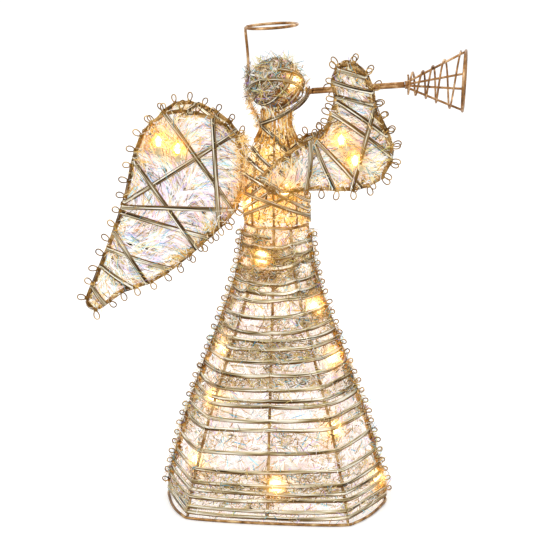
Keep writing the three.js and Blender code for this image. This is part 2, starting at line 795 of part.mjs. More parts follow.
// The trumpet lies along its group's X axis from the mouth to the bell
function buildTrumpet() {
  const trumpet = new THREE.Group();
  trumpet.position.copy(mouthAt);
  trumpet.rotation.y = -radians(trumpetLiftAngle);
  angel.add(trumpet);

  const mouthProfile = mouthProfileShares.map(
    ([radius, along]) => new THREE.Vector2(radius * mouthpieceRadius, along * mouthpieceLength),
  );
  const mouthpiece = new THREE.LatheGeometry(mouthProfile, tubeSides).rotateZ(-fullTurn / 4);
  addPiece("trumpet_mouthpiece", mouthpiece, "wire", trumpet);

  const lobes = [];
  for (let lobe = 0; lobe < bundledWires; lobe++) {
    const turned = (lobe * fullTurn) / bundledWires;
    const centre = new THREE.Vector2(0, tubeReach - tubeWire / 2).rotateAround(new THREE.Vector2(), turned);
    for (let step = 0; step <= lobeSteps; step++) {
      const turn = radians(lerp(-lobeSpread, lobeSpread, step / lobeSteps));
      const angle = fullTurn / 4 + turned + turn;
      const spot = new THREE.Vector2(Math.cos(angle), Math.sin(angle)).multiplyScalar(tubeWire / 2);
      lobes.push(spot.add(centre));
    }
  }
  const tubeStart = mouthpieceLength + seatGap;
  const tube = new THREE.ExtrudeGeometry(new THREE.Shape(lobes), {
    depth: tubeLength, steps: 1, bevelEnabled: false,
  });
  tube.rotateY(fullTurn / 4).translate(tubeStart, 0, 0);
  addPiece("trumpet_tube", tube, "wire", trumpet);

  const bellStart = tubeStart + tubeLength + seatGap;
  const collar = new THREE.CylinderGeometry(tubeReach, tubeReach, collarLength, tubeSides);
  collar.rotateZ(fullTurn / 4).translate(bellStart + collarLength / 2, 0, 0);
  const bellWires = [collar];
  const ribStart = tubeReach - hoopWire / 2;
  const around = (angle, radius, along) =>
    vec(bellStart + along, radius * Math.sin(angle), radius * Math.cos(angle));
  for (let rib = 0; rib < bellRibs; rib++) {
    const angle = (rib * fullTurn) / bellRibs;
    const line = new THREE.LineCurve3(
      around(angle, ribStart, collarLength / 2), around(angle, bellRadius, bellLength - hoopWire / 2),
    );
    bellWires.push(wireAlong(line, hoopWire, 1, ringSides));
  }
  const rim = [];
  for (let step = 0; step < rimSteps; step++) {
    rim.push(around((step * fullTurn) / rimSteps, bellRadius, bellLength - hoopWire / 2));
  }
  const axisWay = () => vec(1, 0, 0);
  bellWires.push(sweep(rim, roundSection(hoopWire, ringSides), { closed: true, outAt: axisWay }));
  addPiece("trumpet_bell_frame", weld(bellWires), "wire", trumpet);

  const spiral = [];
  const spiralFrom = collarLength + spiralWire;
  const spiralTo = bellLength * spiralEndShare;
  const steps = spiralTurns * turnSteps;
  const standOff = (hoopWire + spiralWire) / 2 + 2 * seatGap;
  for (let step = 0; step <= steps; step++) {
    const along = lerp(spiralFrom, spiralTo, (step / steps) ** spiralCrowding);
    const share = (along - collarLength / 2) / (bellLength - hoopWire / 2 - collarLength / 2);
    const radius = lerp(ribStart, bellRadius, share) + standOff;
    spiral.push(around((step * fullTurn) / turnSteps, radius, along));
  }
  const rings = sweepRings(spiral, roundSection(spiralWire, thinSides), { outAt: axisWay });
  printLeastGap("trumpet_bell_spiral", rings, turnSteps / 2);
  addPiece("trumpet_bell_spiral", skinOver(rings, false), "wire", trumpet);
}

// Light string: one lead with branches, its sockets welded to it, and a bulb in each socket
const bulbProfileShares = [[0, 0], [0.85, 0], [1, 0.55], [0.45, 0.92], [0, 1]];
const stringPieces = [];
let bulbCount = 0;

function addLight(at, axis) {
  const turn = new THREE.Quaternion().setFromUnitVectors(up, axis);
  const base = at.clone().addScaledVector(axis, -leadDiameter);
  const radius = socketDiameter / 2;
  const socket = new THREE.CylinderGeometry(radius, radius, socketLength, ringSides);
  socket.rotateX(fullTurn / 4).translate(0, 0, socketLength / 2);
  stringPieces.push(socket.applyQuaternion(turn).translate(base.x, base.y, base.z));

  const profile = bulbProfileShares.map(
    ([wide, along]) => new THREE.Vector2((wide * bulbDiameter) / 2, along * bulbLength),
  );
  bulbCount += 1;
  const glass = new THREE.LatheGeometry(profile, ringSides).rotateX(fullTurn / 4);
  const bulb = addPiece("bulb_" + bulbCount, glass, "bulb");
  bulb.quaternion.copy(turn);
  bulb.position.copy(base).addScaledVector(axis, socketLength + seatGap);
}

function addStrand(points, diameter) {
  stringPieces.push(sweep(points, roundSection(diameter, thinSides)));
}

function skirtLightAxis(corner, share) {
  const above = skirtPlace(corner, share + nearShare, -leadInset);
  return above.sub(skirtPlace(corner, share, -leadInset)).normalize();
}

// The lead's route over the gown, as rib places and height shares; true carries a light
const gownRouteShares = [
  [10, 0.035], [9, 0.035], [8, 0.05, true], [7, 0.06], [6.1, 0.085, true], [5, 0.13],
  [4.8, 0.15, true], [5, 0.17], [5, 0.35], [4.8, 0.37, true], [5, 0.38], [6, 0.33], [7, 0.28],
  [7.15, 0.28, true],
  [7.75, 0.5, true], [7, 0.51], [6, 0.52], [5, 0.53], [4.5, 0.53, true], [5, 0.58],
  [6, 0.62], [7, 0.66], [7.7, 0.68, true], [7, 0.73], [6, 0.8], [5.25, 0.86, true],
  [5.6, 0.87], [5.6, 0.985],
];
// The same over the bodice, as degrees round it and height shares
const bodiceRouteShares = [
  [-108, 0.05], [-157, 0.08, true], [-135, 0.22], [-112, 0.25], [-90, 0.27], [-62, 0.28, true],
  [-40, 0.32], [-40, 0.6], [-62, 0.85],
];

// A branch leaves the bodice, crosses a frame wire on its outer face and lies on the fill
function addBranch(group, outline, face, crossShare, places, axis, start) {
  const overWire = wireRadius + seatGap + branchDiameter / 2;
  const onFill = fillThickness / 2 + seatGap + branchDiameter / 2;
  const litSide = fillThickness / 2 + seatGap + socketDiameter / 2;
  const local = (at, side) => at.clone().setY(face * side).applyMatrix4(group.matrixWorld);
  const cross = outlineAt(outline, crossShare);
  const points = [
    ...start,
    local(cross.at.clone().addScaledVector(cross.out, 2 * overWire), overWire),
    local(cross.at, overWire),
    local(cross.at.clone().addScaledVector(cross.out, -2 * overWire), onFill),
  ];
  const axisWorld = axis.clone().transformDirection(group.matrixWorld);
  places.forEach(([at, lit]) => {
    points.push(local(at, onFill));
    if (lit) addLight(local(at, litSide), axisWorld);
  });
  addStrand(points, branchDiameter);
}

const wingLightShares = [[0.41, 0.76, true], [0.53, 0.8, true]];
// On the arm: which two passes of the band, how far along them and how far from one to the other
const armLightPasses = [7, 9];
const armLightShares = [[0.55, 0.5, true], [0.42, 0.9], [0.2, 0.5, true]];
// Where each branch leaves the bodice, in degrees round it and a height share, and the share
// of the outline where it crosses the frame
const wingExit = { turn: -157, exitShare: 0.91, crossShare: 0.985 };
const armExit = { turn: -68, exitShare: 0.9, crossShare: 0.075 };
const headLightTurn = -30;
const headEntryTurn = 28;

function buildLightString(wing, arm) {
  const route = [];
  gownRouteShares.forEach(([corner, share, lit]) => {
    const at = skirtPlace(corner, share, -leadInset);
    route.push(at);
    if (lit) addLight(at, skirtLightAxis(corner, share));
  });
  bodiceRouteShares.forEach(([degrees, share, lit]) => {
    const at = bodicePlace(radians(degrees), share, -leadInset);
    route.push(at);
    const axis = bodicePlace(radians(degrees), share + nearShare, -leadInset).sub(at).normalize();
    if (lit) addLight(at, axis);
  });
  const branchAt = route.at(-1).clone();

  const gapRadius = headLiningRadius + seatGap + socketDiameter / 2;
  const headWay = vec(1, 0, 0).applyAxisAngle(up, radians(headLightTurn));
  const socketFoot = headCentre.clone().addScaledVector(headWay, gapRadius);
  socketFoot.z -= socketLength;
  const entryReach = gapRadius * Math.sin(radians(headEntryTurn));
  const entry = headCentre.clone().addScaledVector(headWay, entryReach);
  entry.z -= gapRadius * Math.cos(radians(headEntryTurn));
  const below = entry.clone();
  below.z = neckFoot + neckHeight / 2;
  route.push(below, entry, socketFoot);
  addLight(socketFoot, up);
  addStrand(route, leadDiameter);

  angel.updateMatrixWorld(true);
  const onWing = wingLightShares.map(([u, v, lit]) => [vec(u * wingReach, 0, v * wingHeight), lit]);
  const exitPlace = (exit, offset) => bodicePlace(radians(exit.turn), exit.exitShare, offset);
  addBranch(wing, wingOutline, -1, wingExit.crossShare, onWing, up, [
    branchAt, exitPlace(wingExit, -leadInset / 2), exitPlace(wingExit, leadInset),
  ]);
  const [near, far] = armLightPasses.map((pass) =>
    [armPassShares[pass], armPassShares[pass + 1]].map((share) => outlineAt(armOutline, share).at),
  );
  const onArm = armLightShares.map(([along, across, lit]) => [
    near[0].clone().lerp(near[1], along).lerp(far[0].clone().lerp(far[1], along), across), lit,
  ]);
  const armLightWay = near[1].clone().add(far[1]).sub(near[0]).sub(far[0]).normalize();
  addBranch(arm, armOutline, 1, armExit.crossShare, onArm, armLightWay, [
    branchAt, exitPlace(armExit, leadInset),
  ]);
  addPiece("light_string", weld(stringPieces), "lead");
}

buildSkirtFrame();
buildWaistRing();
buildSkirtWrap();
buildSkirtGarland();
buildSkirtLining();
buildSkirtLoops();
buildBodice();
buildNeck();
buildHead();
buildHalo();
const rightWing = buildWing("right", -1);
buildWing("left", 1);
const rightArm = buildArm("right", -1);
buildArm("left", 1);
buildTrumpet();
buildLightString(rightWing, rightArm);

// The origin is the middle of the footprint, on the table
angel.updateMatrixWorld(true);
const box = new THREE.Box3().setFromObject(angel, true);
const middle = box.getCenter(new THREE.Vector3());
angel.position.set(-middle.x, -middle.y, -box.min.z);

export default angel;
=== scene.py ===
import math

import bpy
import numpy as np
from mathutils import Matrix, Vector


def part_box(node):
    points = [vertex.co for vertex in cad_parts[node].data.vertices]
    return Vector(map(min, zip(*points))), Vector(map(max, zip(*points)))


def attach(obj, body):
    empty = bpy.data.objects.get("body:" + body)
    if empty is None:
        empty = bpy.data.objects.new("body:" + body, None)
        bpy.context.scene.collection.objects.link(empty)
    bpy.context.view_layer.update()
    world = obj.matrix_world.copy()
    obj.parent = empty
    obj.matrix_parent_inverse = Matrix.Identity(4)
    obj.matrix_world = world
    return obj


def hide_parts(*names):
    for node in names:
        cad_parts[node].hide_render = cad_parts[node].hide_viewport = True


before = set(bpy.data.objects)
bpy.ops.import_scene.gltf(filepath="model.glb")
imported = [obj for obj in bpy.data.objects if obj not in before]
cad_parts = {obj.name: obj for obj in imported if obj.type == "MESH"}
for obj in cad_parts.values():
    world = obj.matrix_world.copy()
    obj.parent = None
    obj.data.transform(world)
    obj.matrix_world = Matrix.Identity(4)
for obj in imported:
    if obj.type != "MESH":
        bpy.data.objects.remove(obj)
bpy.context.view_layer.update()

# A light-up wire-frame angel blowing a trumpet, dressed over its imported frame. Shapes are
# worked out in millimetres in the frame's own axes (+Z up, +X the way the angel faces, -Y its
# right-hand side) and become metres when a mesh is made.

MM = 0.001
FULL_TURN = 2 * math.pi
UP = np.array([0.0, 0.0, 1.0])
rng = np.random.default_rng(20)

# Wires and bands
FRAME_WIRE = 2.4
HOOP_WIRE = 2.0
LOOP_WIRE = 1.0
SLEEVE_WIRE = 0.7
SLEEVE_PITCH = 0.95
BAND_WIDTH = 3.6
LIMB_BAND_WIDTH = 4.0
BAND_THICKNESS = 0.6
RIDGE_HEIGHT = 0.2
RIDGE_COUNT = 4
FLOOR_CLEARANCE = 0.2
SEAT_GAP, BAND_GAP = 0.3, 0.15
WIRE_RADIUS = FRAME_WIRE / 2
FACE_REACH = WIRE_RADIUS + BAND_GAP + BAND_THICKNESS / 2
STRIP_POINTS = 5
# Facets round a frame wire, a loop's wire and a sleeve's wire
FRAME_SIDES, LOOP_SIDES, SLEEVE_SIDES = 10, 6, 5
# Angle in degrees from which a band's edges are drawn sharp
SHARP_EDGE = 25

# Gown
SKIRT_HEIGHT = 238
BASE_HALF_WIDTH, BASE_FACE_HALF, BASE_HALF_DEPTH = 93, 67, 62
WAIST_HALF_WIDTH, WAIST_FACE_HALF, WAIST_HALF_DEPTH = 26, 14, 18
BASE_ROUNDING = 0.5
FLARE_SHARES = [1, 0.87, 0.7, 0.49, 0.27, 0.075, 0]
SKIRT_CORNERS = 8
# Heights of the gown's turns of band up the middle of its near face
BAND_LEVEL_SHARES = [
    0.024, 0.046, 0.083, 0.107, 0.132, 0.180, 0.246, 0.325, 0.355, 0.406, 0.423, 0.460, 0.510,
    0.554, 0.595, 0.625, 0.652, 0.703, 0.760, 0.784, 0.815, 0.870, 0.908, 0.943, 0.980,
]
NEAR_FACE_TURN = 0.75
# The corner at which the band starts, in the middle of its far face
GOWN_BAND_FIRST = 2
# How far the band stands above or below its level at each corner, going round from the front
BAND_HANG = [0, 1.1, -1.2, 1.1, 0, 1.1, -1.2, 1.1, 0]
WAIST_LEVEL = SKIRT_HEIGHT + WIRE_RADIUS + SEAT_GAP
LINING_INSET = 6.8
# Crumpled sheets: how far outside the linings, or inside the head's hoops, and how deep their
# crumples are
GOWN_SHEET_STAND, GOWN_CRUMPLE = 1.5, 1.8
BODICE_SHEET_STAND, HEAD_SHEET_INSET, CRUMPLE = 2.5, 3, 1.3
# How far off the ribs' faces the garland's strips lie
GARLAND_STAND = (-0.3, 2.1)
GOWN_LOOPS = 27
GOWN_LOOP_HALF_WIDTH, GOWN_LOOP_HEIGHT = 2.0, 5.0
GOWN_LOOP_FROM = 0.03
WAIST_STRIPS = 1500

# Bodice, neck and head
BODICE_FOOT = WAIST_LEVEL + WIRE_RADIUS + SEAT_GAP
BODICE_HEIGHT = 74
BUST_HALF_WIDTH, BUST_HALF_DEPTH = 26, 20.5
BODICE_WIDTH_SHARES = [1, 1, 0.985, 0.95, 0.87, 0.7, 0.48]
BODICE_DEPTH_SHARES = [0.88, 0.94, 1, 1, 0.94, 0.8, 0.61]
BODICE_RIBS = 8
BODICE_TURNS = 4.5
BAND_STEPS = 40
BODICE_LOW, BODICE_HIGH = 10, 52
BODICE_LEANS = [8, 16, 20, 17]
# Tinsel caught between the wings and the bodice: its box's middle and half size
ROOT_STRIPS = 750
ROOT_MIDDLE = np.array([-27.5, 0, 286])
ROOT_SPREAD = np.array([4.0, 11.0, 26])
NECK_HEIGHT, NECK_WIRE = 20, 1.5
NECK_FOLDS = 12
NECK_RADIUS = BUST_HALF_WIDTH * BODICE_WIDTH_SHARES[-1]
NECK_SKIRT_DROP, NECK_SKIRT_FLARE, NECK_SKIRT_FROM = 6, 6, 4
# How far a fold's bends lie from its ends
NECK_BEND, NECK_TOP_GAP = 1.6, 0.8
# Bands round the neck, from the head's middle: one up to the mouthpiece, one to the shoulder
NECK_STRAP = [
    (-13, 3, -33), (-12, -8, -32), (-6, -13, -29), (4, -13.5, -24.5), (12, -11.5, -20),
    (19, -8.5, -14.5), (25, -4.5, -8.5), (27, 0, -2.5), (26, 5, -9), (20, 9, -17), (10, 13, -24),
    (-4, 14, -30), (-12, 8, -33), (-14.5, -1, -34),
]
NECK_SASH = [
    (-13, 4, -30), (-12.5, -7, -32.5), (-6, -13.5, -37), (2, -16, -43), (9, -17, -50),
    (16, -13, -56), (21, -5, -60),
]
NECK_FOOT = BODICE_FOOT + BODICE_HEIGHT + SEAT_GAP
HEAD_CAGE_RADIUS = 19.8
HEAD_REACH = 23.67
HEAD_SEAT = HEAD_REACH + SEAT_GAP
HEAD_RISE = math.sqrt(HEAD_SEAT ** 2 - NECK_RADIUS ** 2)
HEAD_CENTRE = np.array([0, 0, NECK_FOOT + NECK_HEIGHT + HEAD_RISE])
STALK_TINSEL_SPREAD = 1.5
HALO_RADIUS = 21
HALO_RISE = 22
HALO_BEND = 5
# The ring's rise for each millimetre forwards, and towards its right-hand side
HALO_RISE_FORWARD, HALO_RISE_SIDE = 0.07, 0.03

# Wings and arms
WING_REACH, WING_HEIGHT = 128, 161
WING_ROOT_SHARE, WING_SEAT_SHARE = 0.65, 0.5
WING_SPLAY = 18
WING_SPACING = 6
WING_FOOT = BODICE_FOOT + WING_SEAT_SHARE * BODICE_HEIGHT - WING_ROOT_SHARE * WING_HEIGHT
WING_LOOPS = 31
WING_SHARES = [
    [0, 0.8], [0.1, 0.92], [0.27, 0.985], [0.45, 1], [0.6, 0.92], [0.68, 0.78], [0.73, 0.6],
    [0.82, 0.39], [0.93, 0.18], [1, 0.03], [0.95, 0], [0.78, 0.09], [0.6, 0.13],
    [0.4, 0.23], [0.22, 0.35], [0.04, 0.5],
]
ARM_REACH, ARM_HEIGHT = 101, 97
ARM_TILT = 4
# The coil that ties each arm to the bodice: its share of the way round the arm's outline
COIL_AT, COIL_TURNS, COIL_WIRE, COIL_STAND = 0.962, 1.7, 1.1, 3.2
COIL_INNER_RADIUS, COIL_OUTER_RADIUS = 1.8, 3.9
SHOULDER_SHARE = 0.48
SHOULDER_BACK = 5
GRIP_SHARE = 0.86
# How far wings and arms stand off the bodice's wires
LIMB_STAND = HOOP_WIRE / 2 + 2
SIDES = (("right", -1), ("left", 1))
ARM_LOOPS = 25
ARM_SHARES = [
    [-0.03, 0.07], [0.12, 0.21], [0.27, 0.33], [0.36, 0.36], [0.46, 0.41], [0.52, 0.56],
    [0.57, 0.72], [0.54, 0.9], [0.62, 1], [0.76, 0.94], [0.84, 0.78], [0.86, 0.62],
    [0.95, 0.44], [1, 0.24], [0.91, 0.05], [0.7, -0.03], [0.4, -0.02], [0.03, -0.03],
]
# How high a limb's passes of band arch off its faces, in turn, and how much they sway
PASS_LIFTS, PASS_SWAY = (0.5, 1.4, 0.9), 0.6
PASS_STEPS = (0.1, 0.25, 0.4, 0.5, 0.6, 0.75, 0.9)
# Where each winding turns round the outline's wire, as shares of the way round it
WING_PASS_SHARES = [
    [0.168, 0.884, 0.079, 0.845, 0.274, 0.787, 0.37, 0.815, 0.41, 0.676, 0.442, 0.726, 0.476,
     0.647, 0.518, 0.589, 0.535],
    [0.355, 0.032, 0.35, 0.36, 0.885, 0.9],
    [0.82, 0.265, 0.26, 0.125, 0.12, 0.01],
]
ARM_PASS_SHARES = [
    [0.94, 0.994, 0.147, 0.875, 0.152, 0.81, 0.16, 0.744, 0.515, 0.765, 0.238, 0.632, 0.27, 0.58],
    [0.64, 0.282, 0.5, 0.318, 0.468, 0.35, 0.43, 0.385],
]

# Trumpet
TRUMPET_LIFT = 5
MOUTH_DROP = 6
MOUTHPIECE_LENGTH, MOUTHPIECE_RADIUS = 5, 4
TUBE_WIRE = 2.4
TUBE_SHOWN_WIRE, BELL_SHOWN_WIRE = 2.9, 1.9
TUBE_REACH = TUBE_WIRE / 2 + TUBE_WIRE / math.sqrt(3)
TUBE_LENGTH = 75
BELL_LENGTH, BELL_RADIUS = 49, 24.2
COLLAR_LENGTH = 4
COLLAR_WIRE = 1.3
BELL_LEAN = 3.0
BELL_TURN = math.radians(-6)
SPIRAL_WIRE = 1.7
SPIRAL_TURNS = 5
# The spiral's place along the bell at each half turn, and how far it stands off the ribs
SPIRAL_ALONG = [2.2, 3.2, 5.8, 9, 14, 17.5, 21.8, 26, 30.8, 37, 44]
SPIRAL_STAND = [3.2, 2.6, 3.6, 1.2, 0.3, 0.1, 0.1, 0.1, 0.1, 0.1, 0.1]

# Mini bulbs
BULB_RADIUS, BULB_HALF_LENGTH = 2.1, 4.1
BODY_LAMP, LIMB_LAMP, BULB_STRENGTH = 0.022, 0.011, 9
LAMP_COLOUR, LAMP_SIZE = (1, 0.8, 0.42), 0.003
BULB_COUNT = 16
# Glowing strips round each bulb, painted light for its glare: from how near it and over what reach
SPARKS, SPARK_FROM, SPARK_REACH = 110, 2, 6.5

# Loop trim
LOOP_HALF_WIDTH = 2.4
LOOP_HEIGHT = 7.2
KNOT_WIRE, KNOT_LENGTH, KNOT_STEPS = 1.0, 2.2, 24
KNOT_STAND = 0.9
# Steps for each turn of a sleeve or knot round the wire
SLEEVE_STEPS = 8
# How much loops lean, how tall they come out, and how far their ends pass each other
LOOP_LEAN, LOOP_TALL, LOOP_TWIST = 0.12, (0.88, 1.08), 0.6

# How far the light of a bulb shows on what is round it: painted as a glow, and as a warm tint that
# reaches further
BODY_BULBS = 12
BODY_GLOW_REACH, LIMB_GLOW_REACH = 6.6, 3.3
WAIST_BULBS = (8, 9, 10)
WAIST_WARMTH_REACH, WARMTH_REACH = 20.0, 13.0
GLOW_REACHES = [BODY_GLOW_REACH if i < BODY_BULBS else LIMB_GLOW_REACH for i in range(BULB_COUNT)]
WARMTH_REACHES = [WAIST_WARMTH_REACH if i in WAIST_BULBS else WARMTH_REACH for i in range(BULB_COUNT)]
# Film is parted this far from a bulb's middle
BODY_CLEARING, LIMB_CLEARING = 8.6, 4.6
CLEARINGS = np.array([BODY_CLEARING if i < BODY_BULBS else LIMB_CLEARING for i in range(BULB_COUNT)])

# Studio, in metres: a floor, three soft lamps (name, place, size, energy) and the camera, as
# judged from the photograph's perspective
FLOOR_HALF, FLOOR_LEVEL = 12, -0.0002
# The floor's grey, and how much paler the camera sees it
FLOOR_GREY, FLOOR_LIFT = 0.86, 0.3
# The white surroundings' strength as they light the scene, and as they are seen
WORLD_STRENGTHS = (0.9, 1.0)
LAMPS = (
    ("key", (-0.9, -1.3, 1.6), 0.6, 9),
    ("fill", (1.4, -1.0, 0.9), 1.2, 2),
    ("rim", (0.2, 1.4, 1.5), 1.0, 5),
)
CAMERA_AT = (0.207, -1.685, 0.623)
CAMERA_AIM = (0.0, 0.0, 0.2)
CAMERA_LENS, CAMERA_SENSOR = 137.75, 36
CAMERA_SHIFT_X, CAMERA_SHIFT_Y = -0.0027, -0.0098

# Numbers and curves


def unit(vectors):
    return vectors / np.maximum(np.linalg.norm(vectors, axis=-1, keepdims=True), 1e-9)


def mix(low, high, share):
    return low + (high - low) * share


def vec(x, y, z):
    return np.array([x, y, z], float)


def turn_angles(count):
    """Angles evenly spaced round a full turn."""
    return np.arange(count) * FULL_TURN / count


def spread(shares, at):
    """Smooth values read from shares spaced evenly from 0 to 1."""
    shares = np.asarray(shares, float)
    place = np.clip(at, 0, 1) * (len(shares) - 1)
    step = np.minimum(np.floor(place).astype(int), len(shares) - 2)
    a, b, c, d = (shares[np.clip(step + k, 0, len(shares) - 1)] for k in (-1, 0, 1, 2))
    t = place - step
    return b + t * (c - a + t * (2 * a - 5 * b + 4 * c - d + t * (3 * (b - c) + d - a))) / 2


def smooth_line(corners, closed=False, tension=None, steps=16):
    """A Catmull-Rom curve through corners, centripetal unless a tension is given."""
    corners = np.asarray(corners, float)
    count = len(corners)
    if closed:
        padded = np.vstack([corners[-1], corners, corners[:2]])
    else:
        padded = np.vstack([2 * corners[0] - corners[1], corners, 2 * corners[-1] - corners[-2]])
    t = np.linspace(0, 1, steps, endpoint=False)[:, None]
    rows = []
    for i in range(count if closed else count - 1):
        p0, p1, p2, p3 = padded[i:i + 4]
        if tension is None:
            pairs = ((p0, p1), (p1, p2), (p2, p3))
            d0, d1, d2 = (max(np.linalg.norm(q - p) ** 0.5, 1e-4) for p, q in pairs)
            m1 = ((p1 - p0) / d0 - (p2 - p0) / (d0 + d1) + (p2 - p1) / d1) * d1
            m2 = ((p2 - p1) / d1 - (p3 - p1) / (d1 + d2) + (p3 - p2) / d2) * d1
        else:
            m1 = tension * (p2 - p0)
            m2 = tension * (p3 - p1)
        cubic = 2 * (p1 - p2) + m1 + m2
        rows.append(p1 + m1 * t + (3 * (p2 - p1) - 2 * m1 - m2) * t ** 2 + cubic * t ** 3)
    line = np.vstack(rows)
    return line if closed else np.vstack([line, corners[-1]])


def even_line(line, count, closed=False):
    """The same line with its points evenly spaced."""
    whole = np.vstack([line, line[:1]]) if closed else line
    run = np.concatenate([[0], np.cumsum(np.linalg.norm(np.diff(whole, axis=0), axis=1))])
    at = np.linspace(0, run[-1], count, endpoint=not closed)
    return np.stack([np.interp(at, run, whole[:, k]) for k in range(3)], axis=1)


def tangents(line, closed=False):
    if closed:
        ahead = unit(np.roll(line, -1, axis=0) - line)
        return unit(ahead + np.roll(ahead, 1, axis=0))
    ahead = unit(np.diff(line, axis=0))
    return unit(np.vstack([ahead[:1], ahead[:-1] + ahead[1:], ahead[-1:]]))


def rotation(angle, first, second):
    """A matrix that turns one axis towards another."""
    turn = np.eye(3)
    turn[first, first] = turn[second, second] = math.cos(angle)
    turn[second, first] = math.sin(angle)
    turn[first, second] = -math.sin(angle)
    return turn


# Meshes made of rings


def round_section(diameter, sides=8):
    angle = turn_angles(sides)
    return np.stack([np.cos(angle), np.sin(angle)], axis=1) * diameter / 2


def band_section(width=BAND_WIDTH, thickness=BAND_THICKNESS):
    """A flat band whose outer face has ridges along it."""
    across = np.linspace(1, -1, 2 * RIDGE_COUNT + 1)
    ridge = (np.arange(len(across)) % 2) * RIDGE_HEIGHT
    crown = thickness / 2 - RIDGE_HEIGHT / 2 - 0.25 * thickness * across ** 4
    outer = np.stack([across * width / 2, crown + ridge], axis=1)
    inner = np.array([[-width / 2, -thickness / 2], [width / 2, -thickness / 2]])
    return np.vstack([outer, inner])


def rings_at(centres, sides, outs, section):
    return centres[:, None] + sides[:, None] * section[None, :, :1] + outs[:, None] * section[None, :, 1:]


class Shape:
    """Skins over rows of rings, gathered into one mesh, with values kept at each point."""

    def __init__(self):
        self.points = []
        self.faces = []
        self.run = []
        self.across = []
        self.tint = []
        self.count = 0

    def add(self, rings, closed=False, across=None, tint=0.5):
        rows, sides = rings.shape[:2]
        index = self.count + np.arange(rows * sides).reshape(rows, sides)
        here = index if closed else index[:-1]
        there = np.roll(index, -1, axis=0) if closed else index[1:]
        quads = np.stack([here, np.roll(here, -1, 1), np.roll(there, -1, 1), there], axis=-1)
        self.faces += quads.reshape(-1, 4).tolist()
        if not closed:
            self.faces.append(index[0][::-1].tolist())
            self.faces.append(index[-1].tolist())
        step = np.linalg.norm(np.diff(rings.mean(axis=1), axis=0), axis=1)
        run = np.concatenate([[0], np.cumsum(step)])
        self.run.append(np.repeat(run, sides) + 97 * tint)
        self.across.append(np.tile(np.zeros(sides) if across is None else across, rows))
        self.tint.append(np.full(rows * sides, tint))
        self.points.append(rings.reshape(-1, 3))
        self.count += rows * sides

    def wire(self, line, diameter, closed=False, sides=8, tint=0.5):
        """A round wire along a line, its section carried with no twist."""
        along = tangents(line, closed)
        outs = np.empty_like(line)
        out = vec(0.1, 0.2, 1)
        for i, way in enumerate(along):
            out = unit(out - way * np.dot(out, way))
            outs[i] = out
        if closed:
            flat = np.cross(along, UP)
            outs = UP - along * along[:, 2:3] if np.linalg.norm(flat, axis=1).min() > 0.3 else outs
            outs = unit(outs)
        rings = rings_at(line, np.cross(outs, along), outs, round_section(diameter, sides))
        self.add(rings, closed, tint=tint)

    def band(self, stations, width=BAND_WIDTH, tint=0.5):
        """A ridged band through stations of centre, side and out."""
        centres, sides, outs = (np.array(rows) for rows in zip(*stations))
        section = band_section(width)
        self.add(rings_at(centres, sides, outs, section), across=2 * section[:, 0] / width, tint=tint)

    def strips(self, lines, sides, widths, tints):
        """Flat film strips: lines is strips x points x 3, sides the way each is wide."""
        strips, points = lines.shape[:2]
        taper = np.sin(np.linspace(0.25, math.pi - 0.25, points)) ** 0.4
        reach = sides * (widths[:, None, None] * taper[None, :, None] / 2)
        both = np.stack([lines - reach, lines + reach], axis=2)
        both[..., 2] = np.maximum(both[..., 2], FLOOR_CLEARANCE)
        index = self.count + np.arange(strips * points * 2).reshape(strips, points, 2)
        left, right = index[..., 0], index[..., 1]
        quads = np.stack([left[:, :-1], right[:, :-1], right[:, 1:], left[:, 1:]], axis=-1)
        self.faces += quads.reshape(-1, 4).tolist()
        self.points.append(both.reshape(-1, 3))
        self.run.append(np.tile(np.repeat(np.linspace(0, 10, points), 2), strips))
        self.across.append(np.tile([-1.0, 1.0], strips * points))
        self.tint.append(np.repeat(tints, points * 2))
        self.count += strips * points * 2


def frame_shift():
    """The frame's origin is the middle of its box, a little off the base ring's middle."""
    low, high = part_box("base_ring")
    return np.array([(low[0] + high[0]) / 2, (low[1] + high[1]) / 2, 0]) / MM


SHIFT = frame_shift()
NUMBERS = range(1, BULB_COUNT + 1)
BULBS = np.array([[(a + b) / 2 / MM for a, b in zip(*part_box(f"bulb_{i}"))] for i in NUMBERS])


def glow_at(points):
    """How strongly the bulbs' painted light falls on a place: its glow, and its warm tint over a wider
    reach.
    """
    near = np.zeros(len(points))
    wide = np.zeros(len(points))
    for bulb, glow_reach, warmth_reach in zip(BULBS, GLOW_REACHES, WARMTH_REACHES):
        apart = ((points - bulb) ** 2).sum(axis=1)
        near += np.exp(-apart / glow_reach ** 2)
        wide += np.exp(-apart / warmth_reach ** 2)
    return np.clip(near, 0, 1.3), np.clip(wide, 0, 1)


def add_piece(name, shape, material, nodes=(), sharp=None):
    points = np.vstack(shape.points) + SHIFT
    mesh = bpy.data.meshes.new(name)
    mesh.from_pydata((points * MM).tolist(), [], shape.faces)
    glow, painted_bulb_light = glow_at(points)
    values = {
        "run": np.concatenate(shape.run),
        "across": np.concatenate(shape.across),
        "tint": np.concatenate(shape.tint),
        "glow": glow,
        "painted_bulb_light": painted_bulb_light,
    }
    for key, column in values.items():
        kept = mesh.attributes.new(key, "FLOAT", "POINT")
        kept.data.foreach_set("value", column.astype(np.float32))
    mesh.polygons.foreach_set("use_smooth", np.ones(len(mesh.polygons), bool))
    if sharp:
        mesh.set_sharp_from_angle(angle=math.radians(sharp))
    mesh.materials.append(material)
    mesh.update()
    piece = bpy.data.objects.new(name, mesh)
    bpy.context.scene.collection.objects.link(piece)
    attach(piece, "root")
    if nodes:
        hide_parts(*nodes)


def add_tinsel(name, material, strips, nodes=()):
    """One piece of loose film strips."""
    film = Shape()
    film.strips(*strips)
    add_piece(name, film, material, nodes)


# Materials


def srgb(code):
    """A hex colour as linear RGBA."""
    parts = [int(code[i:i + 2], 16) / 255 for i in (0, 2, 4)]
    return [p / 12.92 if p <= 0.04045 else ((p + 0.055) / 1.055) ** 2.4 for p in parts] + [1]


